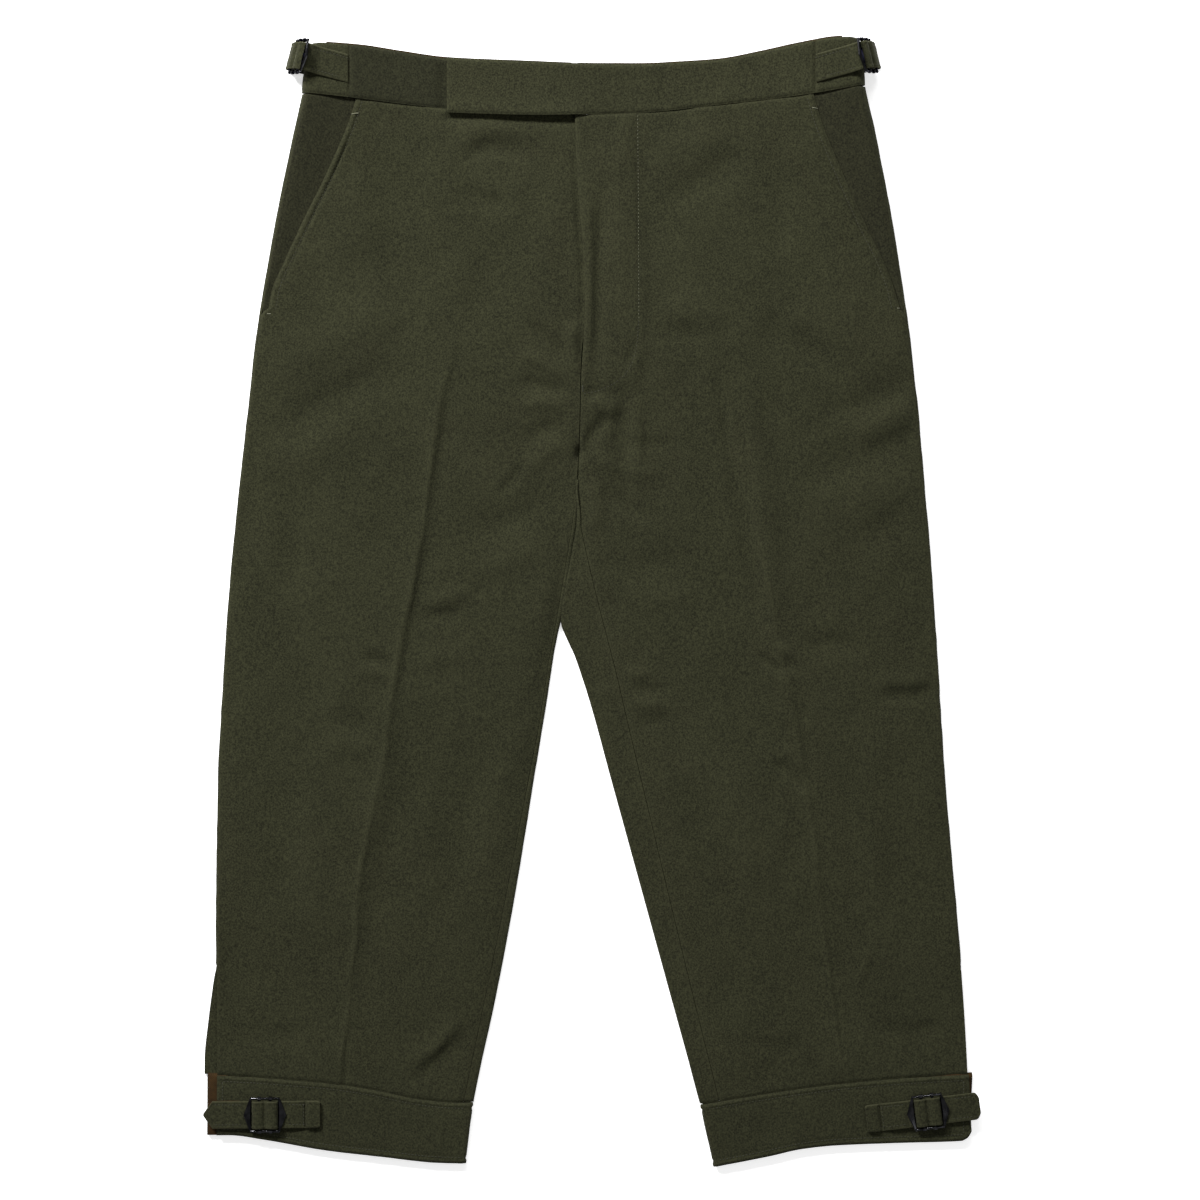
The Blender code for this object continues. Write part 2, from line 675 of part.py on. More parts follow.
clear_scene()
breeches = bpy.data.collections.new("knee_breeches")
bpy.context.scene.collection.children.link(breeches)
for leg in (RIGHT, LEFT):
    front(leg)
    back(leg)
    pocket_facing(leg)
    knee_band(leg)
    knee_band_lining(leg)
waistband_fronts()
waistband_linings()
for waist in WAISTS:
    waistband_back(waist)
    waist_adjuster(waist)
for strap in KNEE_STRAPS:
    knee_strap(strap)
rest_on_origin()
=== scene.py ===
"""The looks of the knee breeches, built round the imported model.

Every cloth piece is a thin shell on the form of its CAD solid: a fine grid of points that takes
the piece's creases, seams, rolled edges and stitching lines, and then a wall on its inner side.
Places are in millimetres on the same tables as the part; MM and ORIGIN bring them to the frame.
"""
import math
from collections import namedtuple

import bpy
import numpy as np
from mathutils import Matrix, Vector
from mathutils.bvhtree import BVHTree


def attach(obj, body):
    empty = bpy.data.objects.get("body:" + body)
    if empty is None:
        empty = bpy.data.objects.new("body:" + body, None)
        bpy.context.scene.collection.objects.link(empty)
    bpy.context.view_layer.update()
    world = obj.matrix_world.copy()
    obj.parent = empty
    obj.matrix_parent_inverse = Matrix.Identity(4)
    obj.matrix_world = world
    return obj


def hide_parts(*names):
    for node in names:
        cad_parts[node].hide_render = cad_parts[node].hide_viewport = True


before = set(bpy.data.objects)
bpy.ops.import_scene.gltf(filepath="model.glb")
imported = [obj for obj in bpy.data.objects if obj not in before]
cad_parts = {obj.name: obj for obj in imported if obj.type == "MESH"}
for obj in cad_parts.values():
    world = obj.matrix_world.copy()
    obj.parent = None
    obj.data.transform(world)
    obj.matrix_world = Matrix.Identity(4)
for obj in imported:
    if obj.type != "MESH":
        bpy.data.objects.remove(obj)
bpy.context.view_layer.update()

MM = 0.001
ORIGIN = np.array([0.8, 0.28, 0.0])

# Driving sizes of the part, in millimetres.
CLOTH = 1.5
BAND = 2.2
CUFF = 2.0
LINING = 0.9
STRAP = 1.4
PLATE = 1.2
GAP = 0.3
CROSS_GAP = 0.2
FOLD_SEAM = 0.01
LEG_HEIGHT = 6.0
HIP_HEIGHT = 8.0
WAIST_HEIGHT = 8.5
SIDE_HEIGHT = 18.0
CUFF_HEIGHT = 6.5
FOLD_RADIUS = 3.0
SIDE_RADIUS = 6.5
FLY_LAP = 2.0
FLY_UNDERLAP = 6.0
FLY_WIDTH = 45.0
TAB_LIFT = 2.7
TAB_END = -108.0
TAB_OVERHANG = 3.4
EDGE_FALL = 2.0
CREASE_RISE = 2.2
OUTSEAM_TURN = 0.2
FACING_REACH = 10.0
STRAP_WIDTH = 20.6
BUCKLE_LENGTH = 32.0
BUCKLE_HEIGHT = 26.5
BAR_OFFSET = 4.2
WINDOW = 10.0
STRAP_UNDER = -(PLATE / 2 + GAP + STRAP / 2)
STRAP_LIFT = 2.2
KNEE_LIFT = 1.3
BUCKLE_TILT = math.radians(62)
ADJUSTER_TURN = math.radians(14)
POCKET_END = 218.0
FLY_END = 155.0
CROTCH = 63.0
VENT_TOP = -272.0
PIT = 112.0             # where the fly's edge sinks in above the crotch
LAYER_ROOM = 3.8        # the upper layer's face never sinks below this height
FOLD_STRENGTH = 1.3
FLOW_STRENGTH = 1.4

# Lengths along which the rows of points are spread.
PANEL_LENGTH = 740.0
FACING_LENGTH = 167.0
BAND_DEPTH = 42.0
CUFF_DEPTH = 46.0

Leg = namedtuple("Leg", "name side outer front back inseam crease pocket vent waist hem")
Cuff = namedtuple("Cuff", "vent back_end inner bottom")
Section = namedtuple("Section", "leg outer_x outer_y front_x back_x inner_y side_radius inner_radius "
                                "side_height share")
Fold = namedtuple("Fold", "depth left right path")


# ---------------------------------------------------------------- curves and noise

def mix(a, b, t):
    return a + (b - a) * t


def ease(t):
    """Smooth step from 0 to 1."""
    t = np.clip(t, 0.0, 1.0)
    return t * t * (3.0 - 2.0 * t)


def bell(distance, reach):
    """Soft bump: 1 at no distance, and almost 0 at twice its reach."""
    return np.exp(-(distance / reach) ** 2)


def curve(points):
    """Smooth function through (key, value) points that never overshoots them."""
    keys, values = (np.array(column, float) for column in zip(*sorted(points)))
    widths = np.diff(keys)
    steps = np.diff(values) / widths
    slopes = np.zeros(len(keys))
    slopes[0], slopes[-1] = steps[0], steps[-1]
    for i in range(1, len(keys) - 1):
        if steps[i - 1] * steps[i] > 0:
            slopes[i] = 2.0 / (1.0 / steps[i - 1] + 1.0 / steps[i])

    def value(key):
        key = np.clip(key, keys[0], keys[-1])
        i = np.clip(np.searchsorted(keys, key, side="right") - 1, 0, len(keys) - 2)
        t = (key - keys[i]) / widths[i]
        start = values[i] * (1 + 2 * t) + slopes[i] * widths[i] * t
        end = values[i + 1] * (3 - 2 * t) - slopes[i + 1] * widths[i] * (1 - t)
        return start * (1 - t) ** 2 + end * t ** 2

    return value


def smooth_path(knots, steps):
    """Points along a smooth curve through knots."""
    knots = np.array(knots, float)
    ends = np.vstack([2 * knots[0] - knots[1], knots, 2 * knots[-1] - knots[-2]])
    t = (np.arange(steps) / steps)[:, None]
    path = []
    for a, b, c, d in zip(ends, ends[1:], ends[2:], ends[3:]):
        path.append(0.5 * (2 * b + (c - a) * t + (2 * a - 5 * b + 4 * c - d) * t ** 2
                           + (3 * b - 3 * c + d - a) * t ** 3))
    return np.vstack(path + [knots[-1:]])


def lumps(x, y, size, seed):
    """Smooth uneven heights from -1 to 1, with lumps about this many millimetres apart."""
    lattice = np.random.RandomState(seed).uniform(-1, 1, (64, 64))
    u, v = x / size + 640, y / size + 640
    i, j = np.floor(u).astype(int), np.floor(v).astype(int)
    across, down = ease(u - i), ease(v - j)

    def corner(a, b):
        return lattice[(i + a) % 64, (j + b) % 64]

    return mix(mix(corner(0, 0), corner(1, 0), across), mix(corner(0, 1), corner(1, 1), across), down)


# ---------------------------------------------------------------- the part's lines

# Lines across the breeches: x, y.
WAIST_SEAM = curve([(-216.8, 381.4), (-181, 378), (-108, 370.5), (-12, 365.5), (34, 367), (103, 374),
                    (166, 381), (205.5, 387.4)])
WAIST_TOP = curve([(-208, 419), (-173, 417), (-143, 413), (-108, 408.5), (-53, 406), (7, 404), (37, 404),
                   (67, 405.4), (97, 407.6), (127, 413), (157, 419), (187, 423), (201, 423)])
HEM_RIGHT = curve([(-291, -354.5), (-250, -356.6), (-220, -359), (-192, -361.5), (-163, -366),
                   (-128, -373), (-100, -375.4), (-85, -375.4)])
HEM_LEFT = curve([(80, -377.5), (134, -368.5), (190, -361), (237, -357), (285, -354.3)])
CUFF_BOTTOM_RIGHT = curve([(-289, -399.4), (-272, -399.2), (-243, -403), (-200, -410.5), (-157, -415.5),
                           (-114, -420), (-93, -420.5)])
CUFF_BOTTOM_LEFT = curve([(91, -423.4), (134, -415), (159, -409.5), (185, -406.8), (230, -405), (278, -403.5),
                          (283, -401), (286, -396)])

# Lines down the breeches: y, x.
FLY = [(390, -12.8), (365, -12.4), (307, -9.6), (257, -5.8), (219, -4.8), (195, -6.1), (171, -7.6),
       (130, -8.5), (90, -10.2)]
CENTRE_BACK = [(390, -3), (240, -3), (120, -7)]
RIGHT_INNER = [(CROTCH, -10.8), (39, -14.3), (-13, -23.0), (-43, -28.5), (-73, -33), (-133, -42.8),
               (-193, -52.5), (-253, -63), (-313, -75), (-343, -81.8), (-376, -88.6)]
LEFT_INNER = [(CROTCH, -10.6), (39, -13.9), (-13, -22.2), (-43, -11.3), (-73, -1.5), (-133, 15), (-193, 31.5),
              (-253, 48), (-313, 64.5), (-343, 72.8), (-377.5, 81.8)]


def under_fly(points):
    """The right front's edge, which runs on under the left front as far as the fly's end."""
    return [(y, x + FLY_UNDERLAP * float(ease((y - FLY_END - 40) / 20))) for y, x in points]


RIGHT = Leg(
    name="right",
    side=-1,
    outer=curve([(390, -215.2), (381, -216.8), (354, -222.8), (302, -234), (249, -243.8), (197, -252),
                 (144, -258), (92, -264), (39, -269.3), (-13, -273.8), (-73, -277.5), (-133, -280.5),
                 (-253, -282), (-268, -281.8), (-285, -284.3), (-313, -288), (-345, -291), (-356, -291)]),
    front=curve(under_fly(FLY) + RIGHT_INNER),
    back=curve(CENTRE_BACK + RIGHT_INNER),
    inseam=curve([(CROTCH, -11), (-13, -24), (-133, -47), (-253, -70.5), (-376, -96)]),
    crease=curve([(240, -90), (213, -96), (157, -112.5), (45, -129), (-27, -143), (-123, -157), (-207, -174),
                  (-291, -180), (-363, -190)]),
    pocket=curve([(385, -174), (367, -179), (322, -198), (288, -215), (257, -229.5), (234, -239.3),
                  (217, -242.3)]),
    vent=lambda y: np.full_like(y, -280.8),
    waist=(381.4, 365.5),
    hem=(-354.5, -375.0),
)
LEFT_OUTER = curve([(390, 205), (384, 206), (354, 213), (328, 218.3), (302, 223.5), (249, 232.5), (197, 240),
                    (144, 246), (92, 250.5), (39, 255), (-13, 258.8), (-73, 262.5), (-133, 266.3),
                    (-193, 271.5), (-253, 276.8), (-313, 281.3), (-356, 283.6)])
LEFT = Leg(
    name="left",
    side=1,
    outer=LEFT_OUTER,
    front=curve(FLY + LEFT_INNER),
    back=curve(CENTRE_BACK + LEFT_INNER),
    inseam=curve([(CROTCH, -9), (39, -4), (-4, 6.3), (-51, 18.4), (-88, 27), (-286, 74.3), (-377.5, 97)]),
    crease=curve([(225, 85), (191, 94.5), (123, 109), (57, 123), (-11, 136.5), (-84, 151), (-179, 167),
                  (-274, 178.5), (-358, 190)]),
    pocket=curve([(390, 163), (379, 167), (362, 172), (320, 189.3), (282, 206.5), (246, 223.7),
                  (222, 231.4)]),
    vent=lambda y: LEFT_OUTER(y) - 0.6,
    waist=(387.0, 365.5),
    hem=(-354.3, -377.5),
)
CUFFS = {
    "right": Cuff(vent=(-280.8, -281.2), back_end=(-288.4, -288.6), inner=(-88.6, -94.1),
                  bottom=CUFF_BOTTOM_RIGHT),
    "left": Cuff(vent=(283.8, 285.8), back_end=(286.8, 285.0), inner=(82, 92), bottom=CUFF_BOTTOM_LEFT),
}
SIDE_FULLNESS = curve([(390, 17.4), (354, 14.8), (302, 11), (249, 9), (197, 8), (144, 7), (92, 6.5),
                       (0, LEG_HEIGHT)])
BODY_HEIGHT = curve([(390, HIP_HEIGHT), (200, HIP_HEIGHT), (60, LEG_HEIGHT + 0.5), (-60, LEG_HEIGHT)])


def hem_line(leg, x):
    return HEM_RIGHT(x) if leg.name == "right" else HEM_LEFT(x)


# ---------------------------------------------------------------- creases

# Creases: depth (a ridge is above 0), soft width to the left and right of its path, path.
FRONT_FOLDS = [
    # dents below the waistband
    Fold(-2.1, 8, 6, [(-104, 331), (-72, 341), (-42, 333)]),
    Fold(0.9, 9, 9, [(-104, 349), (-72, 356), (-36, 346)]),
    Fold(-1.5, 6, 9, [(-104, 314), (-80, 302), (-54, 299)]),
    Fold(-2.3, 22, 18, [(-164, 348), (-148, 302), (-137, 252), (-128, 204)]),
    Fold(1.1, 16, 20, [(-188, 330), (-180, 290), (-174, 244)]),
    Fold(-2.2, 10, 13, [(50, 298), (84, 316), (120, 342)]),
    Fold(1.4, 14, 10, [(42, 326), (74, 344), (108, 359)]),
    Fold(-1.2, 12, 9, [(150, 340), (142, 300), (138, 246)]),
    Fold(0.8, 8, 10, [(28, 352), (22, 332), (8, 318)]),
    # the fly's rolled edge and the valley beside it
    Fold(1.4, 2.4, 3.4, [(-5, 332), (-1.6, 272), (-0.6, 216), (-3, 164)]),
    Fold(-2.6, 4.6, 4.6, [(8, 326), (6.8, 270), (6, 210), (5.6, 158)]),
    Fold(0.8, 7, 6, [(20, 320), (22, 262), (23, 212)]),
    Fold(-1.2, 3.2, 3.6, [(23, 176), (29, 184), (34, 200)]),
    Fold(-2.6, 5.5, 7, [(26, 172), (23.5, 118), (28, 64)]),
    Fold(-2.2, 3.4, 3.4, [(22, 88), (28, 73), (36, 64)]),
    Fold(1.6, 5, 8, [(37, 160), (35, 118), (39, 84)]),
    # drag lines that fan out from the fly's end
    Fold(2.6, 5, 6.5, [(-9, 176), (-12, 194), (-17, 214)]),
    Fold(-1.7, 4.5, 5, [(-13, 178), (-30, 194), (-52, 214)]),
    Fold(1.7, 4.5, 4.5, [(-14, 167), (-34, 178), (-58, 190)]),
    Fold(-1.8, 4.5, 5, [(-14, 157), (-38, 162), (-60, 167)]),
    Fold(1.5, 4.5, 5.5, [(-15, 147), (-36, 149), (-58, 147)]),
    Fold(-1.6, 5.5, 6, [(-15, 134), (-36, 129), (-56, 118)]),
    Fold(1.4, 6, 7, [(-16, 122), (-36, 110), (-54, 94)]),
    Fold(-1.4, 3.6, 3.6, [(-10, 157.8), (0, 157), (10, 158.8)]),
    Fold(2.8, 7, 8, [(-7, 146), (9, 149), (27, 141)]),
    Fold(-1.2, 4, 6, [(10, 128), (30, 120), (52, 119), (74, 124)]),
    Fold(-2.6, 2.8, 2.8, [(-9.6, 125), (-9.3, 112), (-9.8, 99)]),
    Fold(-3.2, 4, 5, [(-16, 100), (-5, 117), (3, 129), (16, 144)]),
    Fold(-1.6, 3, 3, [(-9.6, 116), (-10.4, 88), (-11.2, 54)]),
    Fold(1.5, 6, 6, [(-2, 112), (24, 100), (58, 95)]),
    Fold(1.9, 6, 7, [(-3, 96), (4, 76), (3, 50)]),
    Fold(-2.0, 6, 6, [(6, 92), (22, 74), (48, 60)]),
    Fold(-1.4, 3.2, 4, [(-72, 78), (-61, 90), (-48, 108)]),
    Fold(-1.9, 9, 12, [(-22, 84), (-60, 62), (-104, 50)]),
    Fold(1.2, 10, 12, [(-26, 48), (-62, 30), (-108, 22)]),
    Fold(-1.4, 11, 9, [(2, 34), (38, 26), (86, 36)]),
    Fold(1.0, 8, 10, [(14, 8), (46, 2), (84, 12)]),
    # long soft drapes from the hips
    Fold(-2.4, 11, 15, [(-246, 120), (-204, 148), (-164, 167), (-124, 188)]),
    Fold(2.2, 18, 12, [(-248, 160), (-206, 190), (-166, 210), (-126, 226)]),
    Fold(1.4, 15, 15, [(-252, 92), (-212, 112), (-170, 128)]),
    Fold(-1.3, 16, 18, [(-250, 98), (-222, 54), (-196, 6)]),
    Fold(1.5, 10, 14, [(-236, 88), (-240, 50), (-243, 10)]),
    Fold(1.2, 20, 16, [(-214, 92), (-204, 30), (-206, -52)]),
    Fold(-1.8, 10, 12, [(252, 178), (230, 160), (198, 146), (160, 148)]),
    Fold(1.7, 12, 10, [(252, 152), (226, 138), (192, 126)]),
    Fold(-2.0, 10, 13, [(254, 136), (228, 118), (192, 104), (158, 100)]),
    Fold(1.4, 14, 11, [(252, 96), (222, 84), (186, 72)]),
    Fold(-1.4, 15, 13, [(248, 66), (212, 50), (176, 44)]),
    Fold(1.4, 10, 10, [(50, 216), (78, 219), (106, 207)]),
    Fold(-1.3, 8, 9, [(44, 203), (66, 203), (88, 196)]),
    Fold(-1.8, 13, 10, [(122, 214), (148, 196), (184, 170)]),
    Fold(1.2, 12, 12, [(146, 226), (176, 204), (208, 182)]),
    Fold(-1.4, 16, 16, [(-54, 300), (-76, 250), (-92, 190)]),
    Fold(1.0, 14, 14, [(64, 280), (72, 240), (88, 196)]),
    # the left crease's flattened crest above the knee
    Fold(2.4, 9, 6.5, [(114, 186), (124, 107), (132, 50), (139, -18), (147, -40)]),
    Fold(-2.8, 6.5, 5, [(92, 206), (106, 107), (116, 50), (128, -18), (137, -38)]),
    # kinks where the pressed creases break at the knee
    Fold(-1.6, 4, 5, [(-174, -40), (-160, -43), (-145, -44)]),
    Fold(1.1, 5, 5, [(-182, -52), (-164, -52), (-146, -55)]),
    Fold(1.3, 6, 6, [(-128, 0), (-106, 4), (-84, 12)]),
    Fold(-1.6, 5, 7, [(-134, -8), (-114, -10), (-92, -6)]),
    Fold(1.2, 7, 7, [(-132, -40), (-112, -42), (-88, -36)]),
    Fold(-1.1, 8, 8, [(-198, -82), (-180, -90), (-160, -92)]),
    Fold(1.3, 8, 8, [(-200, -104), (-180, -108), (-160, -112)]),
    Fold(-3.4, 2.6, 3.4, [(125, -36), (134, -45), (147, -53)]),
    Fold(1.9, 4, 3.6, [(138, -30), (146, -36), (153, -46)]),
    Fold(-1.3, 2.6, 3.2, [(144, -38), (149, -45), (147, -53)]),
    Fold(-1.3, 7, 8, [(154, -34), (182, -30), (210, -40)]),
    Fold(-3.2, 2.6, 3.4, [(136, -118), (149, -128), (161, -143)]),
    Fold(1.5, 5, 4, [(140, -108), (151, -115), (161, -130)]),
    Fold(-2.8, 2.6, 3.2, [(165, -267), (177, -275), (189, -287)]),
    Fold(0.8, 2.6, 3, [(199, -292), (205, -275), (211, -256)]),
    # the slopes that fall away beside the pressed creases
    Fold(-1.7, 5, 12, [(150, -52), (160, -96), (166, -150)]),
    Fold(-2.0, 5, 14, [(168, -186), (184, -250), (202, -334)]),
    Fold(-1.2, 14, 9, [(-132, -62), (-141, -120), (-154, -190), (-166, -262), (-168, -320)]),
    Fold(1.0, 14, 12, [(-176, 30), (-186, -60), (-206, -150)]),
    Fold(-1.5, 8, 3.4, [(-92, 222), (-106, 157), (-122, 45), (-136, -27), (-150, -120)]),
    # wrinkles beside the inseams and at the calves
    Fold(1.3, 5, 5, [(4, -62), (14, -68), (26, -66)]),
    Fold(1.3, 4.5, 4.5, [(24, -50), (34, -54), (46, -52)]),
    Fold(-1.5, 4, 4.4, [(28, -61), (42, -66), (66, -64)]),
    Fold(1.3, 4, 4.5, [(28, -72), (40, -77), (56, -75)]),
    Fold(-1.2, 4.5, 5, [(33, -86), (46, -90), (66, -86)]),
    Fold(-2.0, 4, 5.5, [(262, -64), (240, -71), (214, -68)]),
    Fold(1.2, 6, 6, [(262, -54), (238, -60), (206, -58)]),
    Fold(-1.1, 12, 12, [(58, -120), (86, -186), (106, -262)]),
    Fold(1.0, 14, 11, [(92, -96), (114, -170), (132, -250)]),
    Fold(-1.2, 10, 14, [(-92, -92), (-96, -170), (-112, -252)]),
    Fold(1.1, 12, 12, [(-64, -76), (-72, -150), (-86, -226)]),
    Fold(-1.2, 14, 14, [(-246, -76), (-232, -156), (-236, -236)]),
    Fold(1.0, 14, 14, [(-216, -128), (-206, -206), (-214, -276)]),
    Fold(-1.3, 14, 12, [(226, -96), (230, -162), (244, -244)]),
    Fold(1.0, 12, 14, [(206, -140), (214, -216), (226, -296)]),
    Fold(-1.2, 7, 8, [(-262, -316), (-238, -326), (-206, -322)]),
    Fold(-1.1, 7, 6, [(112, -322), (140, -336), (168, -330)]),
    Fold(1.3, 9, 8, [(168, -344), (184, -352), (206, -350)]),
    Fold(-1.5, 6, 8, [(212, -316), (238, -323), (268, -318)]),
    Fold(-2.0, 5, 6, [(-146, -364), (-120, -350), (-92, -322)]),
    Fold(1.4, 6, 5, [(-140, -346), (-116, -334), (-94, -306)]),
]
BACK_FOLDS = [
    Fold(-1.5, 9, 12, [(-20, 300), (-70, 240), (-120, 196)]),
    Fold(-1.4, 8, 10, [(16, 286), (60, 236), (118, 204)]),
    Fold(-1.6, 7, 9, [(-22, 130), (-66, 104), (-124, 92)]),
    Fold(-1.5, 8, 7, [(14, 122), (58, 96), (120, 80)]),
    Fold(-1.2, 12, 14, [(-206, 240), (-188, 150), (-196, 70)]),
    Fold(-1.2, 14, 11, [(196, 236), (180, 148), (192, 58)]),
    Fold(-1.4, 5, 7, [(-214, -30), (-160, -44), (-96, -36)]),
    Fold(-1.4, 6, 5, [(66, -34), (132, -48), (196, -38)]),
    Fold(-1.2, 12, 10, [(-150, -90), (-166, -190), (-182, -290)]),
    Fold(-1.2, 10, 12, [(146, -96), (160, -196), (178, -296)]),
    Fold(-1.1, 7, 8, [(-250, -236), (-214, -252), (-170, -244)]),
    Fold(-1.1, 8, 7, [(120, -262), (164, -276), (214, -266)]),
]
BAND_FOLDS = [
    Fold(-0.35, 5, 7, [(-150, 414), (-147, 396), (-151, 378)]),
    Fold(0.3, 8, 6, [(-128, 410), (-126, 392), (-129, 374)]),
    Fold(-0.3, 9, 9, [(-60, 404), (-57, 388), (-61, 370)]),
    Fold(0.3, 7, 9, [(-28, 404), (-30, 388), (-27, 372)]),
    Fold(-0.3, 8, 6, [(24, 402), (27, 386), (23, 370)]),
    Fold(0.3, 7, 9, [(58, 404), (61, 388), (57, 372)]),
    Fold(-0.4, 6, 8, [(96, 408), (92, 392), (97, 376)]),
    Fold(0.3, 7, 7, [(136, 416), (133, 398), (138, 381)]),
    Fold(-0.8, 2.4, 5, [(56, 424), (56, 390), (57, 350)]),
]
TAB_FOOT = [Fold(-1.6, 9, 3, [(-112, 445), (-111.5, 390), (-112, 335)])]
CUFF_FOLDS = [
    Fold(-0.4, 6, 9, [(-150, -372), (-154, -392), (-148, -414)]),
    Fold(0.35, 9, 9, [(-122, -378), (-120, -398), (-126, -418)]),
    Fold(-0.3, 9, 7, [(-184, -366), (-187, -386), (-182, -408)]),
    Fold(-0.4, 8, 6, [(132, -372), (136, -392), (131, -414)]),
    Fold(0.35, 8, 9, [(162, -368), (160, -388), (166, -408)]),
    Fold(-0.35, 7, 9, [(104, -378), (107, -398), (103, -420)]),
]


def fold_relief(x, y, folds):
    """Height that soft troughs and ridges along listed paths give to points."""
    total = np.zeros_like(x)
    for fold in folds:
        path = smooth_path(fold.path, 5)
        steps = np.diff(path, axis=0)
        lengths = np.linalg.norm(steps, axis=1)
        starts = np.concatenate([[0.0], np.cumsum(lengths)])
        nearest = np.full_like(x, 1e9)
        reach = np.full_like(x, fold.left)
        along = np.zeros_like(x)
        for (ax, ay), (sx, sy), length, start in zip(path, steps, lengths, starts):
            t = np.clip(((x - ax) * sx + (y - ay) * sy) / length ** 2, 0, 1)
            off_x, off_y = x - ax - sx * t, y - ay - sy * t
            distance = np.hypot(off_x, off_y)
            closer = distance < nearest
            nearest = np.where(closer, distance, nearest)
            reach = np.where(closer, np.where(sx * off_y - sy * off_x > 0, fold.left, fold.right), reach)
            along = np.where(closer, (start + t * length) / starts[-1], along)
        total += fold.depth * bell(nearest, reach) * ease(along / 0.35) * ease((1 - along) / 0.35)
    return total


def groove(x, y, path, depth, reach):
    """Height of a narrow groove along a stitched line."""
    return fold_relief(x, y, [Fold(-depth, reach, reach, path)])


# ---------------------------------------------------------------- cross-sections of a leg

def section(leg, share):
    """Cross-sections at shares of the way from the waist seam to the hem, one to a row."""
    outer_y = mix(leg.waist[0], leg.hem[0], share)
    inner_y = mix(leg.waist[1], leg.hem[1], share)
    open_side = ease((VENT_TOP + 6 - outer_y) / 12)
    closed_leg = ease((CROTCH + 27 - inner_y) / 32)    # the legs part here
    side_radius = mix(FOLD_RADIUS, SIDE_RADIUS, ease((outer_y - 90) / 290))
    return Section(
        leg=leg, outer_x=leg.outer(outer_y), outer_y=outer_y, front_x=leg.front(inner_y),
        back_x=leg.back(inner_y), inner_y=inner_y,
        side_radius=mix(side_radius, 0.4, open_side),
        inner_radius=mix(0.15, FOLD_RADIUS, closed_leg),
        side_height=mix(SIDE_FULLNESS(outer_y), 2 * CLOTH + 1.4, ease((VENT_TOP + 50 - outer_y) / 90)),
        share=share,
    )


def across(cut, inner_x, t):
    """Points of the rows, bent to the waist seam and the hem at the two ends."""
    x = mix(cut.outer_x, inner_x, t)
    y = mix(cut.outer_y, cut.inner_y, t)
    waist_bend = WAIST_SEAM(x) - mix(cut.leg.waist[0], cut.leg.waist[1], t)
    hem_bend = hem_line(cut.leg, x) - mix(cut.leg.hem[0], cut.leg.hem[1], t)
    return x, y + waist_bend * ease(1 - cut.share * 6) + hem_bend * ease(1 - (1 - cut.share) * 6)


def off_crease(leg, x, y):
    """Distance from the pressed crease, whose crest wanders a little."""
    wander = 1.1 * lumps(0 * y, y, 31, 5 + leg.side) + 0.5 * lumps(0 * y, y, 11, 15 + leg.side)
    return np.abs(x - leg.crease(y) - wander)


def crease_rise(leg, x, y):
    """The pressed crease, a low ridge with a soft crest down the middle of the leg."""
    strength = ease((225 - y) / 90)
    distance = np.hypot(off_crease(leg, x, y), 1.0) - 1.0
    return CREASE_RISE * strength * np.exp(-distance / 14)


def edge_fall(leg, from_side, from_inner, y):
    """How the upper layer sinks towards a leg's folded edges."""
    outer = bell(from_side, 9) * ease((210 - y) / 90) * ease((y - VENT_TOP - 10) / 80)
    inner = bell(from_inner, 9) * ease((CROTCH + 10 - y) / 50)
    return EDGE_FALL * (0.7 * outer + (1.3 if leg.side < 0 else 1.0) * inner)


def fly_rise(leg, x, y):
    """The fly's layers, which lift the left front beside its edge."""
    if leg.name == "right":
        return np.zeros_like(x)
    reach = ease((FLY_WIDTH + 6 - (x - leg.front(y))) / 12)
    return FLY_LAP * reach * ease((y - FLY_END + 5) / 20)


def top_height(cut, x, y):
    """Height of the upper layer's outer face."""
    from_side = np.abs(x - cut.outer_x)
    from_inner = np.abs(x - cut.front_x)
    body = BODY_HEIGHT(y)
    side = (cut.side_height - body) * bell(from_side, 55)
    relief = crease_rise(cut.leg, x, y) * ease(from_side / 30) * ease(from_inner / 30)
    relief = relief * (0.3 + 0.7 * ease((1 - cut.share) * 28))
    return body + side + relief + fly_rise(cut.leg, x, y) - edge_fall(cut.leg, from_side, from_inner, y)


def top_width(cut):
    return np.hypot(cut.front_x - cut.outer_x, cut.inner_y - cut.outer_y)


def top_limits(cut):
    return cut.side_radius / top_width(cut), 1 - cut.inner_radius / top_width(cut)


def turn_at(cut, line):
    """Loop position on the upper layer where a line down the breeches crosses each section."""
    first, last = top_limits(cut)
    t = np.full_like(cut.outer_x, 0.5)
    for _ in range(6):
        y = across(cut, cut.front_x, t)[1]
        t = (line(y) - cut.outer_x) / (cut.front_x - cut.outer_x)
    return (t - first) / (last - first)


def seam_turn(cut):
    """Half of a seam's gap as a share of the upper layer."""
    return GAP * 0.6 / top_width(cut)


def fold_point(cut, turn, top_turn, radius, inner):
    """Points round a fold between the upper and the lower layer."""
    top_x, top_y = across(cut, cut.front_x, top_turn)
    low_x, low_y = across(cut, cut.back_x, top_turn)
    height = top_height(cut, top_x, top_y)
    away = np.sign(cut.front_x - cut.outer_x) * radius * (1 if inner else -1)
    angle = np.pi * (turn if inner else 1 - turn)
    share = (1 - np.cos(angle)) / 2
    return np.stack([mix(top_x, low_x, share) + away * np.sin(angle), mix(top_y, low_y, share),
                     height / 2 * (1 + np.cos(angle))], axis=-1)


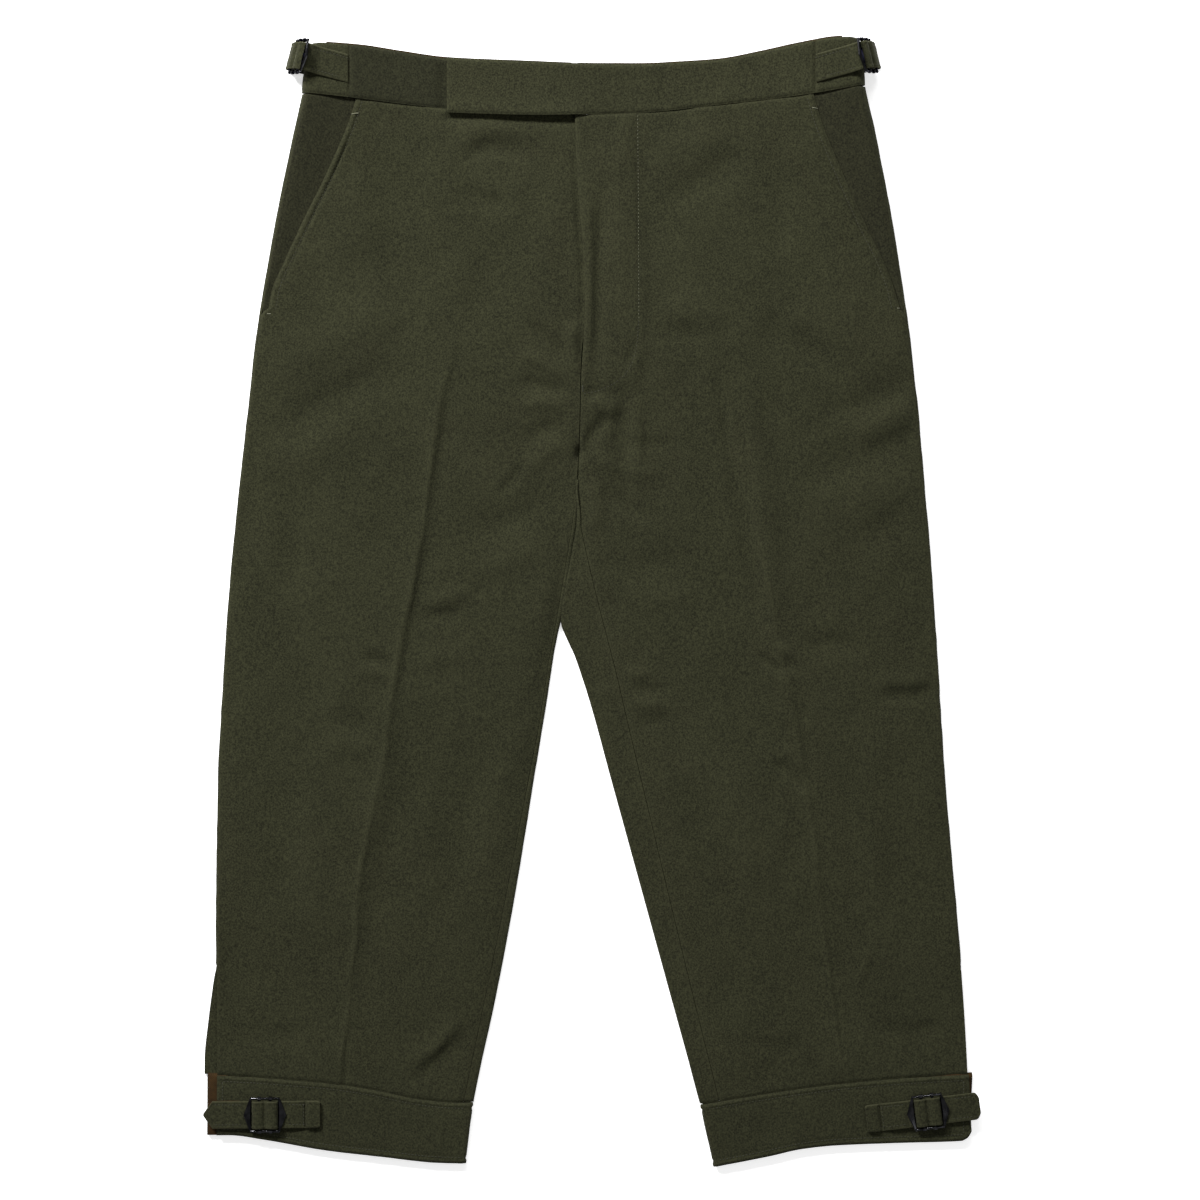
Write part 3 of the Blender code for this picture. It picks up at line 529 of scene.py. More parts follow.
def loop_points(cut, turn):
    """Points of the sections' closed outer loops.

    Turn 0 to 1 is the upper layer from the outer side to the inner one, 1 to 2 the inner fold,
    2 to 3 the lower layer back to the outer side and 3 to 4 the outer fold. -0.2 is 3.8.
    """
    turn = turn % 4
    zone = np.floor(turn).astype(int)
    t = turn - zone
    first, last = (np.broadcast_to(limit, turn.shape) for limit in top_limits(cut))
    x, y = across(cut, cut.front_x, mix(first, last, t))
    upper = np.stack([x, y, top_height(cut, x, y)], axis=-1)
    x, y = across(cut, cut.back_x, mix(last, first, t))
    lower = np.stack([x, y, np.zeros_like(x)], axis=-1)
    inner_fold = fold_point(cut, t, last, cut.inner_radius, True)
    outer_fold = fold_point(cut, t, first, cut.side_radius, False)
    return np.choose(zone[..., None], [upper, inner_fold, lower, outer_fold])


# ---------------------------------------------------------------- making shells

EDGE_STEPS = np.array([0.0, 0.45, 1.0, 1.7, 2.6, 4.0])
surfaces = {}


def spread(length, count):
    """Distances along rows of these lengths, close together at both ends."""
    length = np.asarray(length, float).reshape(-1, 1)
    first = EDGE_STEPS[-1]
    middle = first + (length - 2 * first) * np.linspace(0, 1, count)[1:-1]
    near = np.broadcast_to(EDGE_STEPS, (len(length), len(EDGE_STEPS)))
    return np.hstack([near, middle, length - near[:, ::-1]])


def row_shares(length, count):
    """Shares down a piece of this length, one to a row."""
    return (spread(length, count) / length).reshape(-1, 1)


def edge_distances(points):
    """Distance of each grid point from the first and last row and the first and last column."""
    down = np.linalg.norm(np.diff(points, axis=0), axis=2)
    along = np.linalg.norm(np.diff(points, axis=1), axis=2)
    from_top = np.vstack([np.zeros((1, points.shape[1])), np.cumsum(down, axis=0)])
    from_left = np.hstack([np.zeros((points.shape[0], 1)), np.cumsum(along, axis=1)])
    return from_top, from_top[-1:] - from_top, from_left, from_left[:, -1:] - from_left


def outward_normals(points, outward):
    down = np.gradient(points, axis=0)
    along = np.gradient(points, axis=1)
    normal = np.cross(along, down) * outward
    return normal / np.maximum(np.linalg.norm(normal, axis=2, keepdims=True), 1e-9)


def puckers(points, edges, seed, size=9.0, depth=0.3, reach=7.0):
    """Small uneven ripples that a sewn edge pulls into the cloth."""
    x, y = points[..., 0], points[..., 1]
    near = np.minimum.reduce(edges)
    return depth * lumps(x, y, size, seed) * np.exp(-near / reach)


def grid_faces(rows, columns):
    corner = (np.arange(rows - 1)[:, None] * columns + np.arange(columns - 1)).ravel()
    return np.stack([corner, corner + columns, corner + columns + 1, corner + 1], axis=1)


def border(rows, columns):
    """Indices round a grid's border, in order."""
    index = np.arange(rows * columns).reshape(rows, columns)
    return np.concatenate([index[0, :-1], index[:-1, -1], index[-1, :0:-1], index[:0:-1, 0]])


def new_piece(name, points, faces, material, wear=None, crease=60):
    """A smooth mesh object from points in millimetres on the part's tables."""
    mesh = bpy.data.meshes.new(name)
    mesh.from_pydata(((np.asarray(points) - ORIGIN) * MM).tolist(), [], faces)
    mesh.materials.append(material)
    mesh.shade_smooth()
    mesh.set_sharp_from_angle(angle=math.radians(crease))
    if wear is not None:
        layer = mesh.attributes.new("wear", "FLOAT", "POINT")
        layer.data.foreach_set("value", np.asarray(wear, dtype=np.float32))
    piece = bpy.data.objects.new(name, mesh)
    bpy.context.scene.collection.objects.link(piece)
    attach(piece, "root")
    return piece


def shell(name, points, outward, wall, material, relief=0.0, rolls=(0.9,) * 4, wear=0.0):
    """A closed shell: the outer face takes the relief, and the inner face lies a wall below it.

    rolls says how far each edge, first and last row, then first and last column, turns down.
    """
    rows, columns = points.shape[:2]
    edges = edge_distances(points)
    near = np.minimum.reduce(edges)
    normal = outward_normals(points, outward)
    rolled = np.maximum.reduce([roll * bell(edge, 1.35) for roll, edge in zip(rolls, edges)])
    rolled = rolled * ease(np.abs(normal[..., 2]) * 1.6)
    relief = np.broadcast_to(relief, near.shape)
    outer = points + normal * (relief - rolled)[..., None]
    inner = points + normal * (relief - wall)[..., None]
    outer[..., 2] = np.maximum(outer[..., 2], 0.02)
    inner[..., 2] = np.maximum(inner[..., 2], 0.3)
    quads = grid_faces(rows, columns)
    ring = border(rows, columns)
    count = rows * columns
    rim = np.stack([ring, np.roll(ring, -1), np.roll(ring, -1) + count, ring + count], axis=1)
    faces = np.vstack([quads, quads[:, ::-1] + count, rim])
    if outward > 0:
        faces = faces[:, ::-1]
    # Lighter colour near every edge: partly wear, partly a painted highlight where a folded edge would catch
    # the light.
    shade = np.clip(wear + 0.22 * np.exp(-near / 1.2), 0, 1)
    both = np.concatenate([shade.ravel(), np.zeros(count)])
    vertices = np.vstack([outer.reshape(-1, 3), inner.reshape(-1, 3)])
    surfaces[name] = BVHTree.FromPolygons(outer.reshape(-1, 3).tolist(), quads.tolist())
    return new_piece(name, vertices, faces.tolist(), material, both)


def declare(node, points):
    """Hide the solid that a cloth piece stands for; the width, length and area worked out here from its
    points are not used.
    """
    down, _, along, _ = edge_distances(points)
    width, length = along[:, -1].max() * MM, down[-1].max() * MM
    sides = np.gradient(points, axis=1), np.gradient(points, axis=0)
    area = np.linalg.norm(np.cross(*sides), axis=2)[:-1, :-1].sum() * MM * MM
    area = min(area, width * length)
    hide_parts(node)


# ---------------------------------------------------------------- leg panels

def flow(x, y, seed):
    """Unevenness of soft, heavy cloth laid by hand."""
    return (0.9 * lumps(x + 0.4 * y, y * 0.6, 42, seed) + 0.36 * lumps(x - 0.3 * y, y * 0.8, 19, seed + 1)
            + 0.12 * lumps(x, y, 8, seed + 2) + 0.05 * lumps(x, y, 3.6, seed + 3))


def within(relief, y, high=4.0):
    """Relief kept within soft limits, so that the upper layer stays clear of the lower one."""
    low = LAYER_ROOM - BODY_HEIGHT(y)
    return np.where(relief < 0, low * np.tanh(relief / low), high * np.tanh(relief / high))


def pocket_line(leg, offset=0.0):
    """Points down the slant pocket's mouth, or beside it on the front."""
    return [(leg.pocket(y) - leg.side * offset, y) for y in np.linspace(378, 219, 9)]


J_STITCH = [(35, 366), (35.6, 290), (35.9, 212), (33.2, 187), (25.5, 171), (10, 160.5), (-8, 156)]
# The line on the right front where the fly's edge presses into it.
FLY_FOOT = [(x - 1.4, y) for y, x in FLY if 150 < y < 380]


def crest(leg, x, y):
    """How near points are to the pressed crease's crest, from 0 to 1, and stronger in places."""
    strength = 0.75 + 0.35 * lumps(0 * y, y, 17, 25 + leg.side)
    return bell(off_crease(leg, x, y), 1.9) * ease((215 - y) / 90) * strength


def spans(cut):
    """Lengths of the upper layer and of the outer fold at each section."""
    first, last = top_limits(cut)
    return top_width(cut) * (last - first), np.pi * cut.side_radius


def points_over(cut, start, end, count):
    """Points between two distances over the outer fold, below 0, and the upper layer."""
    width, bend = spans(cut)
    place = start + spread(end - start, count)
    return loop_points(cut, np.where(place < 0, place / bend, place / width)), place


def front_panel(leg, material):
    name = f"front_{leg.name}_cloth"
    cut = section(leg, row_shares(PANEL_LENGTH, 290))
    width, bend = spans(cut)
    first = mix(-OUTSEAM_TURN, turn_at(cut, leg.pocket), ease((cut.outer_y - POCKET_END + 1) / 3))
    vent = np.maximum(turn_at(cut, leg.vent), 0.0)
    first = mix(first, vent, ease((VENT_TOP - cut.outer_y) / 4))
    last = np.where(cut.inner_y <= CROTCH, np.minimum(turn_at(cut, leg.inseam), 1.0), 1.0) - seam_turn(cut)
    points, _ = points_over(cut, np.where(first < 0, first * bend, first * width), last * width, 126)
    x, y = points[..., 0], points[..., 1]
    edges = edge_distances(points)
    inside = ease(edges[2] / 9) * ease(edges[3] / 9)
    ends = (0.5 + 0.5 * ease(edges[0] / 14)) * (0.25 + 0.75 * ease(edges[1] / 26))
    laid = FOLD_STRENGTH * fold_relief(x, y, FRONT_FOLDS)
    laid += FLOW_STRENGTH * flow(x, y, 11 if leg.side < 0 else 31)
    relief = within(laid, y) * inside * ends
    relief += (1.1 if leg.side < 0 else 0.8) * crest(leg, x, y) * inside * ends
    above = ease((y - CROTCH) / 12)
    relief += puckers(points, edges, 51 if leg.side < 0 else 61, depth=0.4) * np.maximum(above, 0.25)
    relief += groove(x, y, pocket_line(leg, 5.4), 1.3, 0.9)
    relief += groove(x, y, [(leg.crease(v) + 2.0, v) for v in (-250, -325, -400)], 0.9, 1.5)
    relief += 0.6 * bell(edges[2] - 2.4, 1.5) * ease((y - 205) / 12)
    relief -= 3.2 * bell(y - PIT, 4.5) * bell(edges[3], 2.4)
    if leg.name == "left":
        relief += groove(x, y, J_STITCH, 0.6, 0.9)
    else:
        relief += groove(x, y, FLY_FOOT, 1.7, 2.0)
        relief -= 2.0 * bell(y - 363.5 + (x + 107) * 0.025, 3.4) * ease((x + 113) / 6)
    # Painted highlight: the pressed crease's crest and the raised ridges get a lighter colour, as if lit.
    wear = 0.12 * crest(leg, x, y) + 0.05 * np.clip(relief, 0, 1)
    at_mouth = 0.25 + 0.65 * ease((y - POCKET_END + 3) / 5)
    at_fly = (0.12 if leg.side < 0 else 0.8) + 0.45 * ease((y - FLY_END - 4) / 8)
    at_fly = at_fly + 2.3 * bell(y - PIT, 5) + 0.4 * bell(y - 86, 16)
    rolls = (0.9, 0.9, at_mouth, at_fly)
    piece = shell(name, points, leg.side, CLOTH, material, relief, rolls, wear)
    declare(f"front_{leg.name}", points)


def dense(coarse, counts):
    """Fill in between coarse columns, with this many steps in each."""
    spots = np.concatenate([i + np.arange(n) / n for i, n in enumerate(counts)] + [[len(counts)]])
    low = np.minimum(np.floor(spots).astype(int), len(counts) - 1)
    return mix(coarse[:, low], coarse[:, low + 1], spots - low)


def back_turns(cut):
    """Loop positions of a back panel, from the inseam or centre back round to the outseam."""
    inseam = turn_at(cut, cut.leg.inseam)
    on_top = (inseam < 1) & (cut.inner_y <= CROTCH)
    inseam = np.where(on_top, inseam + seam_turn(cut), 1 + FOLD_SEAM)
    fixed = [np.full_like(inseam, 1.2 + i / 5) for i in range(4)]
    fixed += [np.full_like(inseam, 2 + i / 7) for i in range(7)]
    around = [inseam, mix(inseam, 1.2, 0.5)] + fixed
    beside = [2 + seam_turn(cut) + 0.008 * i for i in range(6)]
    beside += [np.full_like(inseam, 2.05 + 0.95 * i / 7) for i in range(7)]
    wrap = ease((CROTCH + 37 - cut.inner_y) / 10)
    open_side = ease((VENT_TOP + 2 - cut.outer_y) / 6)
    first_outer = mix(3.0, 2.98, open_side)
    last_outer = mix(4 - OUTSEAM_TURN - FOLD_SEAM, 3.0, open_side)
    outer_fold = [mix(first_outer, last_outer, step) for step in (0, 0.32, 0.64, 0.96, 1)]
    coarse = np.hstack([mix(a, b, wrap) for a, b in zip(beside, around)] + outer_fold)
    return dense(coarse, [9, 6, 4, 4, 4, 4] + [8] * 6 + [8, 4, 5, 5, 2])


def legs_touch(cut, x, y):
    """How far the inner fold swells where the two legs lie against each other."""
    fold = bell(x - cut.back_x, 2.6)
    return fold * (0.65 * ease((y + 26) / 12) * ease((98 - y) / 10) + 1.2 * bell(y - 76, 11))


def back_panel(leg, material):
    name = f"back_{leg.name}_cloth"
    cut = section(leg, row_shares(PANEL_LENGTH, 210))
    points = loop_points(cut, back_turns(cut))
    x, y, z = points[..., 0], points[..., 1], points[..., 2]
    edges = edge_distances(points)
    low = ease((2.5 - z) / 2.5)
    under = np.minimum(fold_relief(x, y, BACK_FOLDS) + 0.5 * flow(x, y, 71), 0)
    over = within(FOLD_STRENGTH * fold_relief(x, y, FRONT_FOLDS), y)
    inside = ease(np.minimum(edges[2], edges[3]) / 7)
    relief = (under * low + over * (1 - low)) * inside + puckers(points, edges, 81, depth=0.3) * (1 - low)
    relief += legs_touch(cut, x, y)
    # Painted highlight: raised ridges get a slightly lighter colour.
    wear = 0.04 * np.clip(relief, 0, 1)
    piece = shell(name, points, leg.side, CLOTH, material, relief, (0.9, 0.9, 0.25, 0.3), wear)
    declare(f"back_{leg.name}", points)


def pocket_facing(leg, material):
    """The hip piece that shows beside the slant pocket and runs in under the front."""
    name = f"pocket_facing_{leg.name}_cloth"
    end = (leg.waist[0] - POCKET_END + 4) / (leg.waist[0] - leg.hem[0])
    cut = section(leg, row_shares(FACING_LENGTH, 66) * end)
    width, bend = spans(cut)
    start = -OUTSEAM_TURN * bend
    mouth = turn_at(cut, leg.pocket) * width
    points, place = points_over(cut, start, mouth + FACING_REACH, 24)
    depth = np.maximum(ease((place - start) / (mouth - start)), ease((POCKET_END + 2.5 - cut.outer_y) / 3))
    points[..., 2] -= depth * (CLOTH + GAP + 0.1)
    edges = edge_distances(points)
    x, y = points[..., 0], points[..., 1]
    relief = 0.6 * flow(x, y, 91) * ease(edges[2] / 8) + puckers(points, edges, 95, depth=0.25)
    relief += groove(x, y, [(leg.outer(v) - leg.side * 5.2, v) for v in np.linspace(378, 222, 7)], 0.7, 0.9)
    piece = shell(name, points, leg.side, CLOTH, material, relief, (0.9, 0.9, 0.3, 0.9))
    declare(f"pocket_facing_{leg.name}", points)


# ---------------------------------------------------------------- waistband

Waist = namedtuple("Waist", "name side seam outer adjuster buckle")
WAISTS = (
    Waist("right", side=-1, seam=-181.0, outer=(-216.6, -208.5), adjuster=(-181.8, 399.3), buckle=38.5),
    Waist("left", side=1, seam=167.5, outer=(205.4, 199.5), adjuster=(168.3, 399.6), buckle=40.4),
)


def waist_height(x):
    """Height of the band's upper face, full at the sides and flat in front."""
    from_side = np.maximum(np.minimum(x + 212, 203 - x), 0)
    return WAIST_HEIGHT + (SIDE_HEIGHT - WAIST_HEIGHT) * bell(from_side, 55)


def level(x):
    return 0.0


def tab_lift(x):
    return TAB_LIFT * ease((32 - x) / 44)


def tab_drop(x):
    """How far the tab's lower edge hangs below the waist seam, more towards its free end."""
    return TAB_OVERHANG * np.clip((-14 - x) / 94, 0, 1)


def waist_grid(start, end, columns, rows, lift, low=0.0, high=1.0, drop=level):
    """Grid over part of the waistband's front, between two places along it."""
    share = mix(low, high, row_shares(BAND_DEPTH, rows))
    x = start + spread(abs(end - start), columns) * np.sign(end - start) + 0 * share
    y = mix(WAIST_SEAM(x) + CROSS_GAP - drop(x), WAIST_TOP(x), share)
    return np.stack([x, y, waist_height(x) + lift(x)], axis=-1)


def tab_lip(x):
    """How far the tab's lower edge stands off the cloth beneath."""
    return mix(0.6, 1.9, np.clip((x + 107) / 95, 0, 1)) * ease((2 - x) / 14)


def waist_front(name, start, end, columns, lift, drop, lip, folds, material, seed):
    points = waist_grid(start, end, columns, 16, lift, drop=drop)
    x, y = points[..., 0], points[..., 1]
    edges = edge_distances(points)
    relief = fold_relief(x, y, BAND_FOLDS) + 0.16 * lumps(x, y, 26, seed) + 0.05 * lumps(x, y, 8, seed + 1)
    relief = relief * ease(np.minimum.reduce(edges) / 5) + puckers(points, edges, seed + 2, 7, 0.16, 4)
    relief += fold_relief(x, y, folds) + lip(x) * bell(edges[0], 8)
    relief += 0.25 * bell(edges[1] - 4, 4)
    piece = shell(f"{name}_cloth", points, 1, BAND, material, relief, rolls=(1.0,) * 4)
    declare(name, points)


def waist_lining(name, start, end, material):
    """Cotton behind the band, whose upper edge shows as a thin line."""
    inside = -(2.4 + GAP + 0.1)
    points = waist_grid(start, end, 60, 6, lambda x: inside, low=0.6, high=1.03)
    piece = shell(f"{name}_cloth", points, 1, LINING, material, rolls=(0.3,) * 4)
    declare(name, points)


def waist_back(waist, material):
    """Half of the band's back, from the side seam round the side to the centre back."""
    name = f"waistband_back_{waist.name}"
    centre = -3 + waist.side * GAP / 2
    share = row_shares(BAND_DEPTH, 16)
    outer = mix(waist.outer[0], waist.outer[1], share ** 2)
    fold = outer - waist.side * SIDE_RADIUS
    seam = waist.seam + waist.side * GAP / 2
    flat = spread(np.abs(fold - seam), 18) / np.abs(fold - seam)
    angle = np.linspace(0, np.pi, 19)[1:-1] + 0 * share
    x = np.hstack([mix(seam, fold, flat), fold + waist.side * SIDE_RADIUS * np.sin(angle),
                   mix(fold, centre, spread(np.full(len(share), 190.0), 34) / 190.0)])
    flats = flat.shape[1]
    level = np.ones_like(x)
    level[:, flats:flats + angle.shape[1]] = (1 + np.cos(angle)) / 2
    level[:, flats + angle.shape[1]:] = 0
    lift = STRAP_LIFT * ease((86 - np.abs(x - outer)) / 24)
    y = mix(WAIST_SEAM(x) + CROSS_GAP, WAIST_TOP(x), share)
    points = np.stack([x, y, mix(lift, waist_height(x), level)], axis=-1)
    edges = edge_distances(points)
    relief = 0.2 * lumps(x, y, 20, 101) * ease(np.minimum.reduce(edges) / 5) * level
    relief += puckers(points, edges, 103, 7, 0.16, 4) * level
    piece = shell(f"{name}_cloth", points, waist.side, BAND, material, relief, rolls=(1.0,) * 4)
    declare(name, points)


# ---------------------------------------------------------------- knee bands

def cuff_grid(leg, top_x, low_x, z, rows):
    """Grid down a knee band, from the x of its columns at the top and the bottom."""
    share = row_shares(CUFF_DEPTH, rows)
    x = mix(top_x[None, :], low_x[None, :], share)
    y = mix(hem_line(leg, x) - CROSS_GAP, CUFFS[leg.name].bottom(x) - 0.8, share)
    return np.stack([x, y, np.broadcast_to(z, x.shape)], axis=-1)


def knee_band(leg, material):
    """The band from the vent's front edge, round the inner fold and back to the vent."""
    cuff = CUFFS[leg.name]
    name = f"knee_band_{leg.name}"
    radius = CUFF_HEIGHT / 2
    fold = [x + leg.side * radius for x in cuff.inner]
    angle = np.linspace(0, np.pi, 19)[1:-1]
    columns = []
    for top, vent, end, inner in zip((0, 1), cuff.vent, cuff.back_end, fold):
        over = spread(abs(inner - vent), 66)[0] / abs(inner - vent)
        under = spread(abs(end - inner), 42)[0] / abs(end - inner)
        columns.append(np.concatenate([mix(vent, inner, over), inner - leg.side * radius * np.sin(angle),
                                       mix(inner, end, under)]))
    z = np.concatenate([np.full(len(over), CUFF_HEIGHT), radius * (1 + np.cos(angle)), np.zeros(len(under))])
    points = cuff_grid(leg, columns[0], columns[1], z, 18)
    x, y = points[..., 0], points[..., 1]
    edges = edge_distances(points)
    upper = ease(points[..., 2] / 4)
    relief = fold_relief(x, y, CUFF_FOLDS) + 0.22 * lumps(x, y, 22, 111) + 0.08 * lumps(x, y, 8, 112)
    relief = relief * ease(np.minimum.reduce(edges) / 6) + puckers(points, edges, 113, 6, 0.2, 5)
    for edge in edges[:2]:
        relief += 0.35 * bell(edge - 2, 1.3) - 0.8 * bell(edge - 4, 0.9)
    relief = np.where(points[..., 2] > 0.01, relief * upper, np.minimum(relief, 0) * 0.5)
    piece = shell(f"{name}_cloth", points, leg.side, CUFF, material, relief, rolls=(1.0,) * 4)
    declare(name, points)


def knee_band_lining(leg, material):
    """Cotton inside the band's back end, which shows at the open vent."""
    cuff = CUFFS[leg.name]
    name = f"knee_band_lining_{leg.name}"
    reach = spread(48.0, 14)[0][::-1]
    ends = [x - leg.side * 0.4 for x in cuff.back_end]
    z = 2.2 + GAP + LINING
    points = cuff_grid(leg, ends[0] - leg.side * reach, ends[1] - leg.side * reach, z, 16)
    points[..., 1] += 1.4 * (1 - row_shares(CUFF_DEPTH, 16))
    x, y = points[..., 0], points[..., 1]
    relief = (0.4 + 0.55 * lumps(x, y * 0.5, 5, 121)) * ease(np.minimum.reduce(edge_distances(points)) / 2)
    piece = shell(f"{name}_cloth", points, -leg.side, LINING, material, relief, rolls=(0.3,) * 4)
    declare(name, points)


# ---------------------------------------------------------------- tubes

def unit(vector):
    return vector / max(np.linalg.norm(vector), 1e-6)


def circle(sides, first, second):
    """Corners round a circle of radius 1, in the plane of two directions."""
    turn = 2 * np.pi * np.arange(sides)[:, None] / sides
    return np.cos(turn) * first + np.sin(turn) * second


def tube_faces(rings, sides, closed=False):
    """Faces round a tube, with a cap at each end unless it closes on itself."""
    index = np.arange(rings * sides).reshape(rings, sides)
    loop = np.vstack([index, index[:1]]) if closed else index
    beside = np.roll(loop, -1, axis=1)
    faces = np.stack([loop[1:], beside[1:], beside[:-1], loop[:-1]], axis=-1).reshape(-1, 4).tolist()
    return faces if closed else faces + [index[0].tolist(), index[-1][::-1].tolist()]


def join(parts):
    """One list of points and faces from several."""
    points, faces = [], []
    for some_points, some_faces in parts:
        faces += [[i + len(points) for i in face] for face in some_faces]
        points += list(some_points)
    return points, faces


# ---------------------------------------------------------------- straps

KNEE_WEAVE = ((14.5, -1.65), (10.9, -1.7), (9.7, -1.3), (9.0, 0.0), (8.4, 1.25), (6.8, 2.1), (4.6, 2.1),
              (2.4, 1.4), (1.1, 0.3))
# The waist straps' loops stand well off their buckle, and the far one covers its plate.
NEAR_LOOP = ((10.7, -1.75), (9.3, -1.2), (7.9, 0.6), (6.2, 2.3), (4.2, 3.0), (2.4, 2.9), (1.2, 2.0),
             (0.9, 0.4))
FAR_LOOP = ((0.9, 0.4), (1.2, 2.0), (2.6, 3.1), (4.8, 3.5), (7.5, 2.9), (10.5, 2.3), (13.5, 1.8),
            (16.3, 0.4))
KneeStrap = namedtuple("KneeStrap", "name base heading buckle length point")
KNEE_STRAPS = (
    KneeStrap("right", base=(-203.3, -383.8), heading=math.radians(180.3), buckle=41.1, length=87.4,
              point=6.8),
    KneeStrap("left", base=(206.6, -387.4), heading=math.radians(6.9), buckle=46.4, length=85.6,
              point=4.0),
)


def weave(middle, tilt, loop, side=1):
    """A strap's (distance, height) at places by its buckle, from (distance, height) off its plane."""
    cos, sin = math.cos(tilt), math.sin(tilt)
    return [(middle[0] + side * along * cos + off * sin, middle[1] - side * along * sin + off * cos)
            for along, off in loop]


Track = namedtuple("Track", "middles normals distances sideways ahead")


def strap_track(base, heading, knots, steps=7):
    """The middle line of a strap with its normals and the distance along it."""
    along = np.array([math.cos(heading), math.sin(heading), 0])
    path = smooth_path(knots, steps)
    slope = np.gradient(path, axis=0)
    slope /= np.linalg.norm(slope, axis=1, keepdims=True)
    up = np.array([0, 0, 1.0])
    middles = np.array([*base, 0]) + path[:, :1] * along + path[:, 1:] * up
    normals = -slope[:, 1:] * along + slope[:, :1] * up
    steps_along = np.linalg.norm(np.diff(middles, axis=0), axis=1)
    distances = np.concatenate([[0], np.cumsum(steps_along)])
    sideways = np.array([-math.sin(heading), math.cos(heading), 0])
    return Track(middles, normals, distances, sideways, along)


# Places across a strap, from one edge (-1) to the other, closer together at the edges.
STRAP_SHARES = np.sign(np.linspace(-1, 1, 25)) * (1 - (1 - np.abs(np.linspace(-1, 1, 25))) ** 1.6)


def strap_piece(name, track, width, thickness, shift, material, seed=0, end_puff=0.0, shear=0.0):
    """A soft flat strap with rolled edges and capped ends along a track; shear slants its start."""
    rows = []
    for distance, middle, normal in zip(track.distances, track.middles, track.normals):
        half = width(distance) / 2
        from_edge = half * (1 - np.abs(STRAP_SHARES))
        rounding = np.sqrt(np.clip(1 - (1 - np.clip(from_edge / 1.1, 0, 1)) ** 2, 0.02, 1))
        seam = 0.12 * bell(from_edge - 1.4, 0.7) - 0.2 * bell(from_edge - 2.7, 0.6)
        rough = 0.1 * lumps(distance + 0 * from_edge, STRAP_SHARES * half, 5, seed)
        puff = end_puff * float(ease((12 - distance) / 2.5) - 1.1 * bell(distance - 10.6, 1.0))
        line = middle + np.outer(STRAP_SHARES * half, track.sideways)
        slant = shear * max(0.0, 1 - distance / 14)
        line = line + np.outer(STRAP_SHARES * half * slant, track.ahead)
        upper = line + np.outer((thickness / 2 + puff) * rounding + seam + rough + shift, normal)
        lower = line + np.outer(shift - thickness / 2 * rounding, normal)
        rows.append(np.vstack([upper, lower[::-1][1:-1]]))
    points = np.array(rows)
    points[..., 2] = np.maximum(points[..., 2], 0.02)
    count, around = points.shape[:2]
    # Lighter colour along the strap's two edges: partly wear, partly a painted highlight on the rolled edges.
    edge_wear_and_highlight = np.concatenate([0.6 * (np.abs(STRAP_SHARES) > 0.93), np.zeros(around - len(STRAP_SHARES))])
    return new_piece(name, points.reshape(-1, 3), tube_faces(count, around), material,
                     np.tile(edge_wear_and_highlight, count))


def place_on(track, distance, aside, off):
    """A point at a distance along a track, aside of its middle and off its face."""
    spot = np.array([np.interp(distance, track.distances, track.middles[:, i]) for i in range(3)])
    normal = np.array([np.interp(distance, track.distances, track.normals[:, i]) for i in range(3)])
    return spot + track.sideways * aside + normal * off, normal


def declare_strap(node):
    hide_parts(node)


# ---------------------------------------------------------------- stitches

def stitches(name, pairs, material, radius=0.3, rise=0.22):
    """Short threads between pairs of (point, normal), bowed off the cloth."""
    rings, sides = 5, 6
    faces = tube_faces(rings, sides)
    t = np.linspace(0, 1, rings)[:, None, None]
    bow = np.sin(np.pi * t)
    threads = []
    for (start, normal_a), (end, normal_b) in pairs:
        normal = unit(normal_a + normal_b)
        side = np.cross(unit(end - start), normal)
        middle = mix(start, end, t) + normal * (rise * bow - 0.12)
        tube = middle + radius * (0.45 + 0.55 * bow) * circle(sides, side, normal)
        threads.append((tube.reshape(-1, 3), faces))
    piece = new_piece(name, *join(threads), material)
    return piece


def on_surface(name, x, y):
    """Where a point above a shell meets it, and the shell's normal there."""
    hit, normal, _, _ = surfaces[name].ray_cast(Vector((x, y, 80)), Vector((0, 0, -1)))
    if hit is None:
        return None
    normal = np.array(normal)
    return np.array(hit), normal * (1 if normal[2] > 0 else -1)


def sewn_line(surface, path, pitch=2.5, length=1.65):
    """Stitch pairs at an even pitch along a path over a shell."""
    path = smooth_path(path, 12)
    distance = np.concatenate([[0], np.cumsum(np.linalg.norm(np.diff(path, axis=0), axis=1))])
    pairs = []
    for start in np.arange(0.6, distance[-1] - length, pitch):
        ends = []
        for place in (start, start + length):
            ends.append(on_surface(surface, np.interp(place, distance, path[:, 0]),
                                   np.interp(place, distance, path[:, 1])))
        if None not in ends:
            pairs.append(ends)
    return pairs


def bar_tack(surface, x, y, length, heading):
    """Close threads side by side, which hold a pocket's corner."""
    pairs = []
    along = np.array([math.cos(heading), math.sin(heading)])
    aside = np.array([-along[1], along[0]])
    for i in range(-7, 8):
        middle = np.array([x, y]) + along * i * length / 15
        ends = [on_surface(surface, *(middle + aside * reach)) for reach in (-0.42, 0.42)]
        if None not in ends:
            pairs.append([(point + normal * 0.15, normal) for point, normal in ends])
    return pairs


def strap_stitches(track, first, last, half, thickness, pitch=2.6, length=1.6):
    """Stitch pairs along both edges of a strap's upper face."""
    pairs = []
    for aside in (-(half - 2.8), half - 2.8):
        for start in np.arange(first, last, pitch):
            pairs.append([place_on(track, start + step, aside, thickness / 2 - 0.08)
                          for step in (0, length)])
    return pairs


# ---------------------------------------------------------------- buckles

